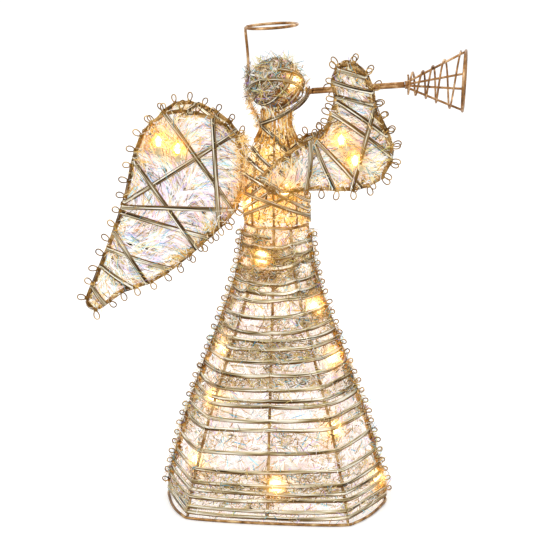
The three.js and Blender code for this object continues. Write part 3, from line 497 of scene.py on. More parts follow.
def feed(tree, node, values):
    """Links or sets inputs of a node."""
    for key, value in values.items():
        if isinstance(value, bpy.types.NodeSocket):
            tree.links.new(value, node.inputs[key])
        else:
            node.inputs[key].default_value = value


def add_node(tree, kind, inputs=None, **settings):
    made = tree.nodes.new(kind)
    for key, value in settings.items():
        setattr(made, key, value)
    feed(tree, made, inputs or {})
    return made


def attribute(tree, name):
    return add_node(tree, "ShaderNodeAttribute", attribute_name=name).outputs["Fac"]


def ramp(tree, factor, stops, interpolation="LINEAR"):
    made = add_node(tree, "ShaderNodeValToRGB", {"Fac": factor})
    elements = made.color_ramp.elements
    made.color_ramp.interpolation = interpolation
    for place, _ in stops[2:]:
        elements.new(place)
    for element, (place, colour) in zip(elements, stops):
        element.position = place
        element.color = srgb(colour)
    return made.outputs["Color"]


def math_node(tree, operation, *values):
    return add_node(tree, "ShaderNodeMath", dict(enumerate(values)), operation=operation).outputs[0]


def noise(tree, scale, detail, vector=None):
    """Noise over the object's own coordinates, unless another vector is given."""
    if vector is None:
        vector = add_node(tree, "ShaderNodeTexCoord").outputs["Object"]
    inputs = {"Vector": vector, "Scale": scale, "Detail": detail}
    return add_node(tree, "ShaderNodeTexNoise", inputs).outputs["Fac"]


def map_range(tree, value, low, high):
    inputs = {"Value": value, "To Min": low, "To Max": high}
    return add_node(tree, "ShaderNodeMapRange", inputs).outputs[0]


def blend_colour(tree, factor, a, b, mode="MIX"):
    inputs = {"Factor": factor, 6: a, 7: b}
    return add_node(tree, "ShaderNodeMix", inputs, data_type="RGBA", blend_type=mode).outputs[2]


def with_painted_bulb_light(tree, colour, share, bulb_light_colour, mode="MIX"):
    """Painted light: a colour made warmer near the bulbs, where their light falls."""
    near = math_node(tree, "MULTIPLY", attribute(tree, "painted_bulb_light"), share)
    return blend_colour(tree, near, colour, srgb(bulb_light_colour), mode)


def start_material(name):
    material = bpy.data.materials.new(name)
    material.use_nodes = True
    return material, material.node_tree, material.node_tree.nodes["Principled BSDF"]


# How strongly the bulbs' light, painted on as a glow, shows on bands and on film, and how unevenly
BAND_GLOW, FILM_GLOW, GLOW_SPREAD = 0.9, 3.0, 1.5
# Painted light: the warm tints that the bulbs' light gives what is near them, and how much of each
WIRE_BULB_LIGHT_TINT, BAND_BULB_LIGHT_TINT, FILM_BULB_LIGHT_TINT = (0.35, "f0b850"), (0.4, "f0b050"), "ffdc84"
GLOW_COLOURS = [(0, "ffa830"), (0.12, "ffc24c"), (0.3, "ffe08a"), (0.55, "fff8dc")]


def add_glow(tree, shader, strength, own=None, always=0.0):
    """Painted light: warm glow from the bulbs, kept in the mesh's glow values, over a faint even glow
    painted on all of it.
    """
    glow = attribute(tree, "glow")
    colour = ramp(tree, glow, GLOW_COLOURS)
    if own is not None:
        share = math_node(tree, "MINIMUM", math_node(tree, "MULTIPLY", glow, 4), 1)
        colour = blend_colour(tree, share, own, colour)
    least = 1 - GLOW_SPREAD / 2
    uneven = math_node(tree, "MULTIPLY_ADD", attribute(tree, "tint"), GLOW_SPREAD, least)
    lit = math_node(tree, "MULTIPLY", math_node(tree, "MULTIPLY", glow, strength), uneven)
    lit = math_node(tree, "ADD", lit, always)
    feed(tree, shader, {"Emission Color": colour, "Emission Strength": lit})


def wire_material(name, dark, mid, light, glow_strength):
    """Lacquered wire: metal with blotches, partly the lacquer's uneven tone and partly painted highlight
    and shade standing in for its reflections.
    """
    material, tree, shader = start_material(name)
    blotch_and_sheen = noise(tree, 120, 4)
    colour = ramp(tree, blotch_and_sheen, [(0.34, dark), (0.5, mid), (0.66, light)])
    feed(tree, shader, {
        "Base Color": with_painted_bulb_light(tree, colour, *WIRE_BULB_LIGHT_TINT),
        "Roughness": map_range(tree, blotch_and_sheen, 0.22, 0.45),
        "Metallic": 0.9,
    })
    add_glow(tree, shader, glow_strength)
    return material


# Band tones, dark to pale: partly the foil's own streaks, and partly painted shade (the darkest stops)
# and painted highlight (the palest), standing in for the metal's reflections
GOWN_BAND_TONES_AND_SHEEN = [
    (0.38, "3b2c1a"), (0.43, "7a643e"), (0.485, "ac9a70"), (0.54, "d2c4a2"), (0.6, "fdf8ea"),
]
LIMB_BAND_TONES_AND_SHEEN = [
    (0.4, "33261a"), (0.45, "6a573c"), (0.5, "9b8a6a"), (0.55, "c8bb9c"), (0.61, "fdf8ea"),
]


def band_material(name, colours, low_edge_shade, high_edge_light_and_shade):
    """Champagne band: bright and dark lines along it, partly the foil's streaks and partly painted
    highlight and shade; a little lighter towards its high edge as painted light; a browner low edge,
    partly its own colour and partly painted shade; and a painted line on its high edge, pale on the gown
    and dark on the limbs.
    """
    material, tree, shader = start_material(name)
    across = attribute(tree, "across")
    over = math_node(tree, "MULTIPLY", across, 1.7)
    along = math_node(tree, "MULTIPLY", attribute(tree, "run"), 0.025)
    lines = add_node(tree, "ShaderNodeCombineXYZ", {"X": over, "Y": along}).outputs[0]
    streak_and_sheen = noise(tree, 1.0, 2, lines)
    # Painted light: a little lighter towards the high edge
    shade = math_node(tree, "ADD", streak_and_sheen, math_node(tree, "MULTIPLY", across, 0.05))
    colour = ramp(tree, shade, colours)
    # Painted edge lines: a shade line along the low edge, and along the high edge a line of the given
    # colour, pale for a highlight and dark for shade
    for side, limit, edge in (("LESS_THAN", -0.6, low_edge_shade), ("GREATER_THAN", 0.8, high_edge_light_and_shade)):
        covered = math_node(tree, "MULTIPLY", math_node(tree, side, across, limit), 0.85)
        colour = blend_colour(tree, covered, colour, srgb(edge))
    feed(tree, shader, {
        "Base Color": with_painted_bulb_light(tree, colour, *BAND_BULB_LIGHT_TINT),
        "Roughness": map_range(tree, streak_and_sheen, 0.25, 0.5),
        "Metallic": 0.85,
    })
    add_glow(tree, shader, BAND_GLOW)
    return material


FILM_COLOURS = [
    (0.0, "ffffff"), (0.26, "f6e4ee"), (0.36, "d8cfe4"), (0.42, "ffffff"), (0.54, "f3e0b4"),
    (0.62, "d8a858"), (0.67, "ffffff"), (0.78, "a0dcec"), (0.83, "4ea6cc"), (0.86, "c8b0e4"),
    (0.89, "ecec9c"), (0.92, "8a6a3a"), (0.96, "5c4a34"),
]
CLEAR_COLOURS = [
    (0.0, "ffffff"), (0.34, "fdf4f4"), (0.44, "f8e0e4"), (0.5, "ffffff"), (0.6, "e6d6b8"),
    (0.67, "c4a068"), (0.75, "ffffff"), (0.82, "a8deec"), (0.86, "52a8c8"), (0.89, "cdb8ea"),
    (0.92, "8e6a36"),
]
PALE_COLOURS = [
    (0.0, "ffffff"), (0.3, "fbeef4"), (0.42, "f4dcec"), (0.5, "ffffff"), (0.62, "e6e2f4"),
    (0.7, "f8efd8"), (0.78, "ffffff"), (0.84, "c6e8f2"), (0.89, "d8c8ec"), (0.93, "e4c890"),
]
GOWN_COLOURS = [
    (0.0, "efe0bc"), (0.14, "cfb27c"), (0.32, "a98850"), (0.46, "7e5e2e"), (0.54, "e8ca90"),
    (0.66, "ba9454"), (0.76, "ffffff"), (0.84, "8accd8"), (0.87, "4596b4"), (0.89, "efe27c"),
    (0.94, "4c381a"),
]
# Gold film tints: yellows and browns of the gold, with white and palest strips that are painted
# highlights
GOLD_TONES_AND_HIGHLIGHTS = [
    (0.0, "fff4cc"), (0.18, "f6d680"), (0.32, "dcac4c"), (0.42, "ffffff"), (0.56, "b08438"),
    (0.64, "faeab4"), (0.8, "7a5824"), (0.86, "ecc464"), (0.91, "d4ecf2"), (0.94, "40301a"),
]
EDGE_COLOURS = [
    (0.0, "fff0c0"), (0.2, "f2cc74"), (0.38, "ffffff"), (0.5, "dea848"), (0.62, "f8e8b8"),
    (0.76, "b88438"), (0.84, "e6bc62"), (0.9, "d4ecf4"), (0.94, "7c5420"),
]
HAIR_COLOURS = [
    (0.0, "f0d680"), (0.24, "d4a040"), (0.38, "fff6da"), (0.54, "7cc4d4"), (0.66, "3492b4"),
    (0.72, "ae8cd0"), (0.78, "e2e288"), (0.86, "a87028"), (0.94, "5c3f1c"),
]
# Colours of the painted glare round the bulbs
SPARK_COLOURS = [
    (0.0, "fffbe8"), (0.3, "ffe79a"), (0.52, "ffcf5a"), (0.72, "eea02c"), (0.84, "fff6d2"),
]
# Head film tints: the film's own tints, with white strips as painted highlights and the darkest browns as
# painted shade
HEAD_TINTS_HIGHLIGHTS_AND_SHADE = [
    (0.0, "ffffff"), (0.16, "e8dcc4"), (0.26, "b9a47c"), (0.36, "857050"), (0.44, "fff2dc"),
    (0.54, "d2ae74"), (0.62, "4e3a22"), (0.7, "ffffff"), (0.82, "f0b8d0"), (0.86, "b4e0ea"),
    (0.89, "8c6a3c"), (0.94, "2c2016"),
]
FOOT_COLOURS = [
    (0.0, "d99c4c"), (0.18, "b0752e"), (0.36, "86541f"), (0.48, "fff0d0"), (0.56, "c88c40"),
    (0.72, "5c3a18"), (0.82, "ffffff"), (0.9, "c4dce0"), (0.94, "f2c87e"),
]

PATCH_COLOURS = [(0.3, "ffeaee"), (0.42, "ffffff"), (0.56, "ffffff"), (0.66, "eaf6f8"), (0.75, "fdf4d8")]


def film_material(name, colours, cover, painted_glow, painted_bulb_light=0.7):
    """Clear iridescent film: each strip has its own tint, and what lies behind shows through. Painted
    light: a faint even glow over all of it, and the bulbs' glow and warm tint.
    """
    material, tree, shader = start_material(name)
    colour = ramp(tree, attribute(tree, "tint"), colours, "CONSTANT")
    patches = ramp(tree, noise(tree, 140, 2), PATCH_COLOURS)
    tinted = blend_colour(tree, 0.6, colour, patches, "MULTIPLY")
    final = with_painted_bulb_light(tree, tinted, painted_bulb_light, FILM_BULB_LIGHT_TINT, "MULTIPLY")
    feed(tree, shader, {
        "Base Color": final,
        "Roughness": 0.2,
        "Specular IOR Level": 0.8,
        "Alpha": cover,
    })
    add_glow(tree, shader, FILM_GLOW, final, painted_glow)
    through = add_node(tree, "ShaderNodeBsdfTranslucent", {"Color": final})
    shares = {0: 0.35, 1: shader.outputs[0], 2: through.outputs[0]}
    both = add_node(tree, "ShaderNodeMixShader", shares)
    tree.links.new(both.outputs[0], tree.nodes["Material Output"].inputs["Surface"])
    return material


def bulb_material():
    """A lit bulb, palest at its tip."""
    material, tree, shader = start_material("lit_bulb")
    along = math_node(tree, "DIVIDE", attribute(tree, "run"), BULB_HALF_LENGTH * 2)
    colour = ramp(tree, along, [(0, "fff6dc"), (1, "ffd684")])
    feed(tree, shader, {
        "Emission Color": colour,
        "Base Color": colour,
        "Emission Strength": BULB_STRENGTH,
        "Roughness": 0.1,
    })
    return material


def lead_material():
    """Champagne insulation with a faint mottle."""
    material, tree, shader = start_material("lead_insulation")
    colour = ramp(tree, noise(tree, 300, 2), [(0.35, "c8b688"), (0.65, "e4d6b0")])
    feed(tree, shader, {"Base Color": colour, "Roughness": 0.45})
    return material


# Wire tones, dark, middle and pale: partly the lacquer's uneven colour, and partly painted shade and
# highlight
WIRE = wire_material("bronze_wire", "6e4c28", "a87c4a", "dcbc8a", 1.0)
COPPER = wire_material("trumpet_wire", "74502e", "a87848", "e2be92", 1.0)
TRIM = wire_material("trim_wire", "64461e", "a07636", "e0bc7c", 1.2)
AMBER = wire_material("amber_wire", "945c18", "dca048", "ffe6a8", 1.2)
# Edge lines: painted shade on each band's low edge, partly the foil's browner edge; a painted highlight
# on the gown band's high edge and painted shade on the limb band's
GOWN_BAND = band_material("gown_band_painted_sheen", GOWN_BAND_TONES_AND_SHEEN, "74481e", "cdbc92")
BAND = band_material("limb_band_painted_sheen", LIMB_BAND_TONES_AND_SHEEN, "74501f", "5a4222")
# Films: name, tints, how much each strip covers, and the faint glow painted over all of it; the gold
# film's last number is its share of the bulbs' painted warm tint
SHEET = film_material("film_sheet", CLEAR_COLOURS, 0.3, 0.75)
FILM = film_material("iridescent_film", FILM_COLOURS, 0.9, 0.36)
PALE_FILM = film_material("pale_film", PALE_COLOURS, 0.6, 0.5)
CLEAR_FILM = film_material("clear_film", CLEAR_COLOURS, 0.75, 0.6)
GOWN_FILM = film_material("gown_film", GOWN_COLOURS, 0.95, 0.08)
HAIR_FILM = film_material("hair_film", HAIR_COLOURS, 0.95, 0.15)
GOLD_FILM = film_material("gold_film", GOLD_TONES_AND_HIGHLIGHTS, 0.95, 0.62, 0.5)
EDGE_FILM = film_material("edge_film", EDGE_COLOURS, 0.95, 0.4)
SPARK_FILM = film_material("spark_film", SPARK_COLOURS, 1.0, 1.1)
HEAD_FILM = film_material("head_film", HEAD_TINTS_HIGHLIGHTS_AND_SHADE, 0.98, 0.2)
FOOT_FILM = film_material("head_foot_film", FOOT_COLOURS, 0.98, 0.12)
LIT = bulb_material()
LEAD = lead_material()

# Pieces of one wire or one band


def add_wire(name, line, diameter, material, nodes=(), slot="wire", **how):
    wire = Shape()
    wire.wire(line, diameter, **how)
    add_piece(name, wire, material, nodes)


def add_band(name, stations, material=BAND, nodes=()):
    band = Shape()
    band.band(stations)
    add_piece(name, band, material, nodes, SHARP_EDGE)


# Gown


def skirt_corners(share):
    """The eight corners of the gown's plan at each share of its height."""
    share = np.atleast_1d(np.asarray(share, float))
    flare = spread(FLARE_SHARES, share)
    wide = mix(WAIST_HALF_WIDTH, BASE_HALF_WIDTH, flare)
    face = mix(WAIST_FACE_HALF, BASE_FACE_HALF, flare)
    deep = mix(WAIST_HALF_DEPTH, BASE_HALF_DEPTH, flare)
    none = np.zeros_like(share)
    x = np.stack([wide, face, none, -face, -wide, -face, none, face], axis=1)
    y = np.stack([none, deep, deep, deep, none, -deep, -deep, -deep], axis=1)
    z = np.repeat(share[:, None] * SKIRT_HEIGHT, SKIRT_CORNERS, axis=1)
    return np.stack([x, y, z], axis=2)


def face_normal(section, corner):
    """The outward normal of the face from a corner to the next."""
    here, there = section[corner % SKIRT_CORNERS], section[(corner + 1) % SKIRT_CORNERS]
    return unit(vec(there[1] - here[1], here[0] - there[0], 0))


def rib_tangent(corner, share):
    return unit(skirt_corners(share + 0.02)[0][corner] - skirt_corners(share - 0.02)[0][corner])


def outward(edge):
    """Level normals of edges that run round the gown."""
    return np.stack([edge[:, 1], -edge[:, 0], np.zeros(len(edge))], axis=1)


def skirt_surface(turn, share, inset):
    """Places on the gown: turn runs from 0 to 1 round it, by its perimeter."""
    sections = skirt_corners(share)
    ahead = np.roll(sections, -1, axis=1)
    length = np.linalg.norm(ahead - sections, axis=2)
    ends = np.cumsum(length, axis=1)
    target = turn * ends[:, -1]
    side = np.minimum((ends < target[:, None]).sum(axis=1), SKIRT_CORNERS - 1)
    row = np.arange(len(sections))
    start = ends[row, side] - length[row, side]
    t = ((target - start) / length[row, side])[:, None]
    place = sections[row, side] * (1 - t) + ahead[row, side] * t
    normal = outward(unit(ahead[row, side] - sections[row, side]))
    return place - normal * np.asarray(inset).reshape(-1, 1), normal


def loop_line(count, spine_at, half_width=LOOP_HALF_WIDTH, height=LOOP_HEIGHT, steps=14):
    """Trim wire: open loops along a spine, the wire running on between them."""
    points = []
    for loop in range(count):
        at, along, out, normal = spine_at((loop + 0.5) / count)
        lean = rng.normal(0, LOOP_LEAN)
        tall = height * rng.uniform(*LOOP_TALL)
        for step in range(steps + 1):
            angle = step / steps * FULL_TURN
            rise = tall * (1 - math.cos(angle)) / 2
            swing = half_width * math.sin(angle) * (0.75 + 0.35 * rise / tall) + lean * rise
            twist = mix(-LOOP_TWIST, LOOP_TWIST, step / steps)
            points.append(at + along * swing + out * rise + normal * twist)
    return np.array(points)


def add_loops(edge, line, nodes):
    add_wire(f"{edge}_picots", line, LOOP_WIRE, TRIM, nodes, "loops", sides=LOOP_SIDES)


def wound_sleeves(spine_at, length, loops):
    """Trim wire wound close round a frame wire between its loops."""
    sleeves = Shape()
    radius = WIRE_RADIUS + SLEEVE_WIRE / 2
    for gap in range(1, loops):
        half = (0.3 if gap % 3 else 0.2) / loops
        turns = max(int(2 * half * length / SLEEVE_PITCH), 2)
        line = []
        steps = turns * SLEEVE_STEPS
        for step in range(steps + 1):
            at, _, out, normal = spine_at(gap / loops + half * (2 * step / steps - 1))
            angle = step / SLEEVE_STEPS * FULL_TURN
            line.append(at + (out * math.cos(angle) + normal * math.sin(angle)) * radius)
        sleeves.wire(np.array(line), SLEEVE_WIRE, sides=SLEEVE_SIDES)
    for loop in range(loops):
        line = []
        at, along, out, normal = spine_at((loop + 0.5) / loops)
        for step in range(KNOT_STEPS + 1):
            angle = step / SLEEVE_STEPS * FULL_TURN
            turned = (out * math.cos(angle) + normal * math.sin(angle)) * radius
            passed = along * (step / KNOT_STEPS - 0.5) * KNOT_LENGTH
            line.append(at + out * KNOT_STAND + turned + passed)
        sleeves.wire(np.array(line), KNOT_WIRE, sides=SLEEVE_SIDES)
    return sleeves


def base_line():
    """The base ring: straight along both faces, rounded at the front and the back."""
    past = BASE_HALF_WIDTH - BASE_FACE_HALF
    points = []
    for end in (1, -1):
        for share in np.arange(13) / 6 - 1:
            turn = math.pi * share / 2
            x, y = BASE_FACE_HALF + past * math.cos(turn), BASE_HALF_DEPTH * math.sin(turn)
            flat_x, flat_y = BASE_FACE_HALF + past * (1 - abs(share)), BASE_HALF_DEPTH * share
            at = mix(vec(flat_x, flat_y, 0), vec(x, y, 0), BASE_ROUNDING)
            points.append(at * end + UP * FRAME_WIRE / 2)
    return even_line(smooth_line(points, True), 220, True)


# A closed frame wire
ROUND = {"closed": True, "sides": FRAME_SIDES}
RIB_FOOT_SHARE = 0.012


def build_gown_frame():
    add_wire("base_ring_wire", base_line(), FRAME_WIRE, WIRE, ["base_ring"], **ROUND)
    for corner in range(SKIRT_CORNERS):
        line = skirt_corners(np.linspace(RIB_FOOT_SHARE, 1, 40))[:, corner]
        name, node = f"gown_rib_wire_{corner + 1}", f"skirt_rib_{corner + 1}"
        add_wire(name, line, FRAME_WIRE, WIRE, [node], tint=corner / SKIRT_CORNERS)
    waist = skirt_corners(1)[0]
    waist[:, 2] = WAIST_LEVEL
    hoop = even_line(smooth_line(waist, True, 0.25, 12), 80, True)
    add_wire("waist_hoop_wire", hoop, FRAME_WIRE, WIRE, ["waist_ring"], **ROUND)


def turn_level(turn):
    """The band's height share after so many turns round the gown from its front edge."""
    level = np.interp(turn - NEAR_FACE_TURN, np.arange(len(BAND_LEVEL_SHARES)), BAND_LEVEL_SHARES)
    hang = np.interp(turn * SKIRT_CORNERS % SKIRT_CORNERS, np.arange(SKIRT_CORNERS + 1), BAND_HANG)
    return level + hang / SKIRT_HEIGHT


def rolled(side, out, angle):
    """A side and an out, turned about the line that they stand on."""
    along, up = math.cos(angle), math.sin(angle)
    return side * along + out * up, out * along - side * up


def build_gown_wrap():
    stations = []
    total = (len(BAND_LEVEL_SHARES) - 1) * SKIRT_CORNERS + 6
    for step in range(GOWN_BAND_FIRST, total):
        corner = step % SKIRT_CORNERS
        share = float(turn_level(step / SKIRT_CORNERS))
        section = skirt_corners(share)[0]
        before, after = face_normal(section, corner - 1), face_normal(section, corner)
        along = rib_tangent(corner, share)
        bend = math.sqrt((1 + before @ after) / 2)
        for t in ([0.5] if bend > 0.9999 else [0, 0.5, 1]):
            out = unit(mix(before, after, t))
            reach = FACE_REACH / (bend if t in (0, 1) else 1)
            out = unit(out - along * (out @ along))
            stations.append((section[corner] + out * reach, along, out))
        following = float(turn_level((step + 1) / SKIRT_CORNERS))
        there = skirt_corners(following)[0][(corner + 1) % SKIRT_CORNERS]
        start = section[corner] + after * FACE_REACH
        end = there + after * FACE_REACH
        bow, sway, roll = rng.uniform(-0.7, 0.5), rng.normal(-0.8, 0.45), rng.normal(0, 0.22)
        for t in (0.12, 0.3, 0.5, 0.7, 0.88):
            arch = math.sin(math.pi * t)
            side = unit(mix(along, rib_tangent((corner + 1) % SKIRT_CORNERS, following), t))
            out = unit(after - side * (after @ side))
            side, out = rolled(side, out, roll * arch)
            stations.append((mix(start, end, t) + out * bow * arch + side * sway * arch, side, out))
    add_band("gown_band", stations, GOWN_BAND, ["skirt_wrap"])


def edge_spine(corner, reach):
    def spine_at(share):
        height = mix(GOWN_LOOP_FROM, 0.99, share)
        at = skirt_corners(height)[0][corner]
        along = rib_tangent(corner, height)
        outward = unit(vec(at[0], at[1], 0))
        out = unit(outward - along * (outward @ along))
        return at + out * reach, along, out, np.cross(along, out)
    return spine_at


def build_gown_loops():
    for corner, edge in ((0, "front_edge"), (4, "back_edge")):
        spine = edge_spine(corner, FACE_REACH + 0.8)
        line = loop_line(GOWN_LOOPS, spine, GOWN_LOOP_HALF_WIDTH, GOWN_LOOP_HEIGHT)
        add_loops(edge, line, [f"{edge}_loops"])
        sleeves = wound_sleeves(edge_spine(corner, 0), SKIRT_HEIGHT, GOWN_LOOPS)
        add_piece(f"{edge}_sleeves", sleeves, AMBER)


def random_strips(places, normals, length, width, lift, lay=0.0):
    """Film strips laid about places: directions near the surface, curled and lifted."""
    count = len(places)
    loose = unit(rng.normal(size=(count, 3))) + lay * rng.choice([-1, 1], (count, 1))
    flat = unit(loose - normals * (loose * normals).sum(axis=1, keepdims=True))
    way = unit(flat + normals * rng.normal(0, lift, (count, 1)))
    lengths = rng.uniform(*length, count)
    curl = unit(rng.normal(size=(count, 3))) * rng.uniform(0, 0.35, (count, 1))
    t = np.linspace(-0.5, 0.5, STRIP_POINTS)[None, :, None]
    lines = places[:, None] + way[:, None] * (t * lengths[:, None, None])
    lines += curl[:, None] * (lengths[:, None, None] * (0.25 - t ** 2))
    twist = rng.uniform(-1.5, 1.5, (count, 1, 1)) * (t + 0.5)
    base = unit(np.cross(way, normals) + rng.normal(0, 0.35, (count, 3)))
    other = np.cross(way, base)
    sides = base[:, None] * np.cos(twist) + other[:, None] * np.sin(twist)
    return lines, sides, rng.uniform(*width, count), rng.uniform(0, 1, count)


def clear_of_bulbs(places, *others):
    """The places that aren't close to a bulb, and what goes with each."""
    apart = np.linalg.norm(places[:, None] + SHIFT - BULBS[None], axis=2)
    keep = (apart > CLEARINGS).all(axis=1)
    return tuple(column[keep] for column in (places, *others))


def garland_places(count):
    """Random places in the furrows between the band's turns, in drifts."""
    turn = rng.uniform(NEAR_FACE_TURN, len(BAND_LEVEL_SHARES) - 1.3, count * 4)
    drift = np.sin(turn * 5.3 + 2 * np.sin(turn * 1.7)) + 0.7 * np.sin(turn * 11.9 + 1)
    drift += 0.5 * np.sin(turn * 41)
    turn = turn[rng.uniform(-0.4, 1.2, len(turn)) < drift][:count]
    corner = np.floor(turn * SKIRT_CORNERS).astype(int)
    t = (turn * SKIRT_CORNERS - corner)[:, None]
    across = rng.choice([0.25, 0.5, 0.75], len(turn)) + rng.normal(0, 0.09, len(turn))
    level = mix(turn_level(turn), turn_level(turn + 1), across)
    sections = skirt_corners(level)
    row = np.arange(len(turn))
    here = sections[row, corner % SKIRT_CORNERS]
    there = sections[row, (corner + 1) % SKIRT_CORNERS]
    edge = unit(there - here)
    return mix(here, there, t), outward(edge), edge


GARLAND_STRIPS = 16500
# How many tufts stand on each rib between the gown's edges
RIB_TUFTS = ((1, 320), (2, 90), (3, 320), (5, 320), (6, 90), (7, 320))


def build_gown_garland():
    """The tinsel wound between the turns of the band, and its tufts on the ribs."""
    place, normal, edge = garland_places(GARLAND_STRIPS)
    place = place + normal * rng.uniform(*GARLAND_STAND, (len(place), 1))
    place, normal, edge = clear_of_bulbs(place, normal, edge)
    strips = random_strips(place, normal, (3, 8), (0.4, 0.85), 0.4, lay=edge * 0.8)
    add_tinsel("gown_garland", GOWN_FILM, strips, ["skirt_garland"])
    tufts = Shape()
    for corner, count in RIB_TUFTS:
        share = rng.uniform(0.03, 0.98, count)
        ribs = skirt_corners(share)[:, corner]
        normal = unit(ribs * vec(1, 1, 0))
        place = ribs + normal * rng.uniform(0.5, 2.6, (count, 1)) + rng.normal(0, 1.2, (count, 3))
        place, normal = clear_of_bulbs(place, normal)
        tufts.strips(*random_strips(place, normal, (4, 9), (0.45, 0.8), 0.5))
    add_piece("gown_rib_tufts", tufts, GOWN_FILM)


# The gown's loose film: name, material, how many strips, their length, width and lift, and
# how far in they lie
GOWN_LAYERS = (
    ("gown_film_strips", CLEAR_FILM, 7600, (7, 17), (0.6, 1.4), 0.14, (0.8, 5.0)),
    ("gown_film_fringe", CLEAR_FILM, 1300, (5, 11), (0.4, 0.8), 0.5, (-2.6, 1.0)),
    ("gown_film_hairs", HAIR_FILM, 2400, (3, 8), (0.4, 0.65), 0.8, (-4.0, 0.0)),
)
# Tinsel on the gown's front and back edge: name, material, how far out, its lowest share, how
# many strips and how far they stray, their length, width and lift
GOWN_EDGE_LAYERS = (
    ("gown_edge_hairs", HAIR_FILM, 3.0, 0.02, 560, 1.5, (5, 12), (0.35, 0.6), 0.8),
    ("gown_edge_curls", FOOT_FILM, 2.4, 0.01, 620, 1.3, (3, 6), (0.4, 0.8), 0.6),
)


def build_gown_sheet():
    """The crumpled film behind the ribs."""
    sheet = Shape()
    around, up = 150, 90
    turn, share = np.meshgrid(np.arange(around) / around, np.linspace(0.02, 0.975, up))
    crumples = rng.uniform(-GOWN_CRUMPLE, GOWN_CRUMPLE, turn.size)
    inset = LINING_INSET - GOWN_SHEET_STAND + crumples
    place, _ = skirt_surface(turn.ravel(), share.ravel(), inset)
    place[:, 2] += rng.uniform(-0.6, 0.6, turn.size) * (np.abs(share.ravel() - 0.5) < 0.47)
    sheet.add(place.reshape(up, around, 3), tint=0.1)
    del sheet.faces[-2:]
    sheet.tint[-1] = rng.uniform(0, 0.7, turn.size)
    add_piece("gown_film_sheet", sheet, SHEET, ["skirt_lining"])


def build_gown_film():
    for name, material, count, length, width, lift, inset in GOWN_LAYERS:
        share = rng.uniform(0.02, 0.99, count) ** 1.25
        turn = rng.uniform(0, 1, count)
        window = np.sin(share * 61 + 3 * np.sin(turn * 20)) + np.sin(turn * 75 + 5 * share) < -1.0
        share, turn = share[~window], turn[~window]
        place, normal = skirt_surface(turn, share, rng.uniform(*inset, len(turn)))
        place, normal = clear_of_bulbs(place, normal)
        add_tinsel(name, material, random_strips(place, normal, length, width, lift))
    share = 1 - rng.uniform(0, 1, WAIST_STRIPS) ** 1.5 * 0.3
    turn = rng.uniform(0, 1, WAIST_STRIPS)
    place, normal = skirt_surface(turn, share, rng.uniform(-1.0, 3.0, WAIST_STRIPS))
    place, normal = clear_of_bulbs(place, normal)
    strips = random_strips(place, normal, (4, 10), (0.4, 0.9), 0.25)
    add_tinsel("gown_waist_film", GOLD_FILM, strips)
    for name, material, reach, lowest, count, stray, length, width, lift in GOWN_EDGE_LAYERS:
        tinsel = Shape()
        for corner in (0, 4):
            spine = edge_spine(corner, reach)
            spots = [spine(share) for share in rng.uniform(lowest, 1, count)]
            place, _, out, _ = (np.array(rows) for rows in zip(*spots))
            place = place + rng.normal(0, stray, place.shape)
            tinsel.strips(*random_strips(place, out, length, width, lift))
        add_piece(name, tinsel, material)


# Bodice


def bodice_place(angle, share, offset):
    wide = BUST_HALF_WIDTH * spread(BODICE_WIDTH_SHARES, share) + offset
    deep = BUST_HALF_DEPTH * spread(BODICE_DEPTH_SHARES, share) + offset
    angle = np.asarray(angle, float)
    share = np.asarray(share, float)
    shape = np.broadcast(angle, share)
    x = np.broadcast_to(wide * np.cos(angle), shape.shape)
    y = np.broadcast_to(deep * np.sin(angle), shape.shape)
    z = np.broadcast_to(BODICE_FOOT + share * BODICE_HEIGHT, shape.shape)
    return np.stack([x, y, z], axis=-1)


def build_bodice_frame():
    wires = Shape()
    for rib in range(BODICE_RIBS):
        wires.wire(bodice_place(rib * FULL_TURN / BODICE_RIBS, np.linspace(0, 1, 20), 0), HOOP_WIRE)
    around = turn_angles(64)
    for share in (0.5, 1 - HOOP_WIRE / BODICE_HEIGHT):
        wires.wire(bodice_place(around, share, -HOOP_WIRE / 4), HOOP_WIRE, True)
    add_piece("bodice_wires", wires, WIRE, ["bodice_frame"])


def bodice_band(way, phase, offset):
    """A band wound up the bodice, leaning one way or the other and more in its middle turns."""
    steps = int(BODICE_TURNS * BAND_STEPS)
    stations = []
    for step in range(steps + 1):
        angle = step / BAND_STEPS * FULL_TURN
        lean = spread(BODICE_LEANS, step / steps)
        level = mix(BODICE_LOW, BODICE_HIGH, step / steps)
        share = (level + way * lean * math.cos(angle + phase)) / BODICE_HEIGHT
        at = bodice_place(angle, share, offset)
        side = unit(bodice_place(angle, share + 0.02, offset) - at)
        out = unit(vec(at[0] / BUST_HALF_WIDTH, at[1] / BUST_HALF_DEPTH, 0))
        out = unit(out - side * (out @ side))
        stations.append((at, side, out))
    return stations


def build_bodice_bands():
    reach = HOOP_WIRE / 2 + 0.2 + BAND_THICKNESS / 2
    over = reach + BAND_THICKNESS + BAND_GAP
    for layer, way, phase, offset in (("under", 1, 0.3, reach), ("over", -1, -0.2, over)):
        stations = bodice_band(way, phase, offset)
        add_band(f"bodice_band_{layer}", stations, nodes=[f"bodice_wrap_{layer}"])


# The bodice's loose film: how many strips, their length, width and lift, how far out they lie
BODICE_LAYERS = (
    (1500, (5, 12), (0.8, 1.8), 0.2, (-4.5, 0.0)),
    (1100, (4, 9), (0.4, 0.8), 0.6, (-1.0, 2.8)),
)


def level_ways(angle):
    """Level directions at angles round the upright axis."""
    return np.stack([np.cos(angle), np.sin(angle), np.zeros(len(angle))], axis=1)


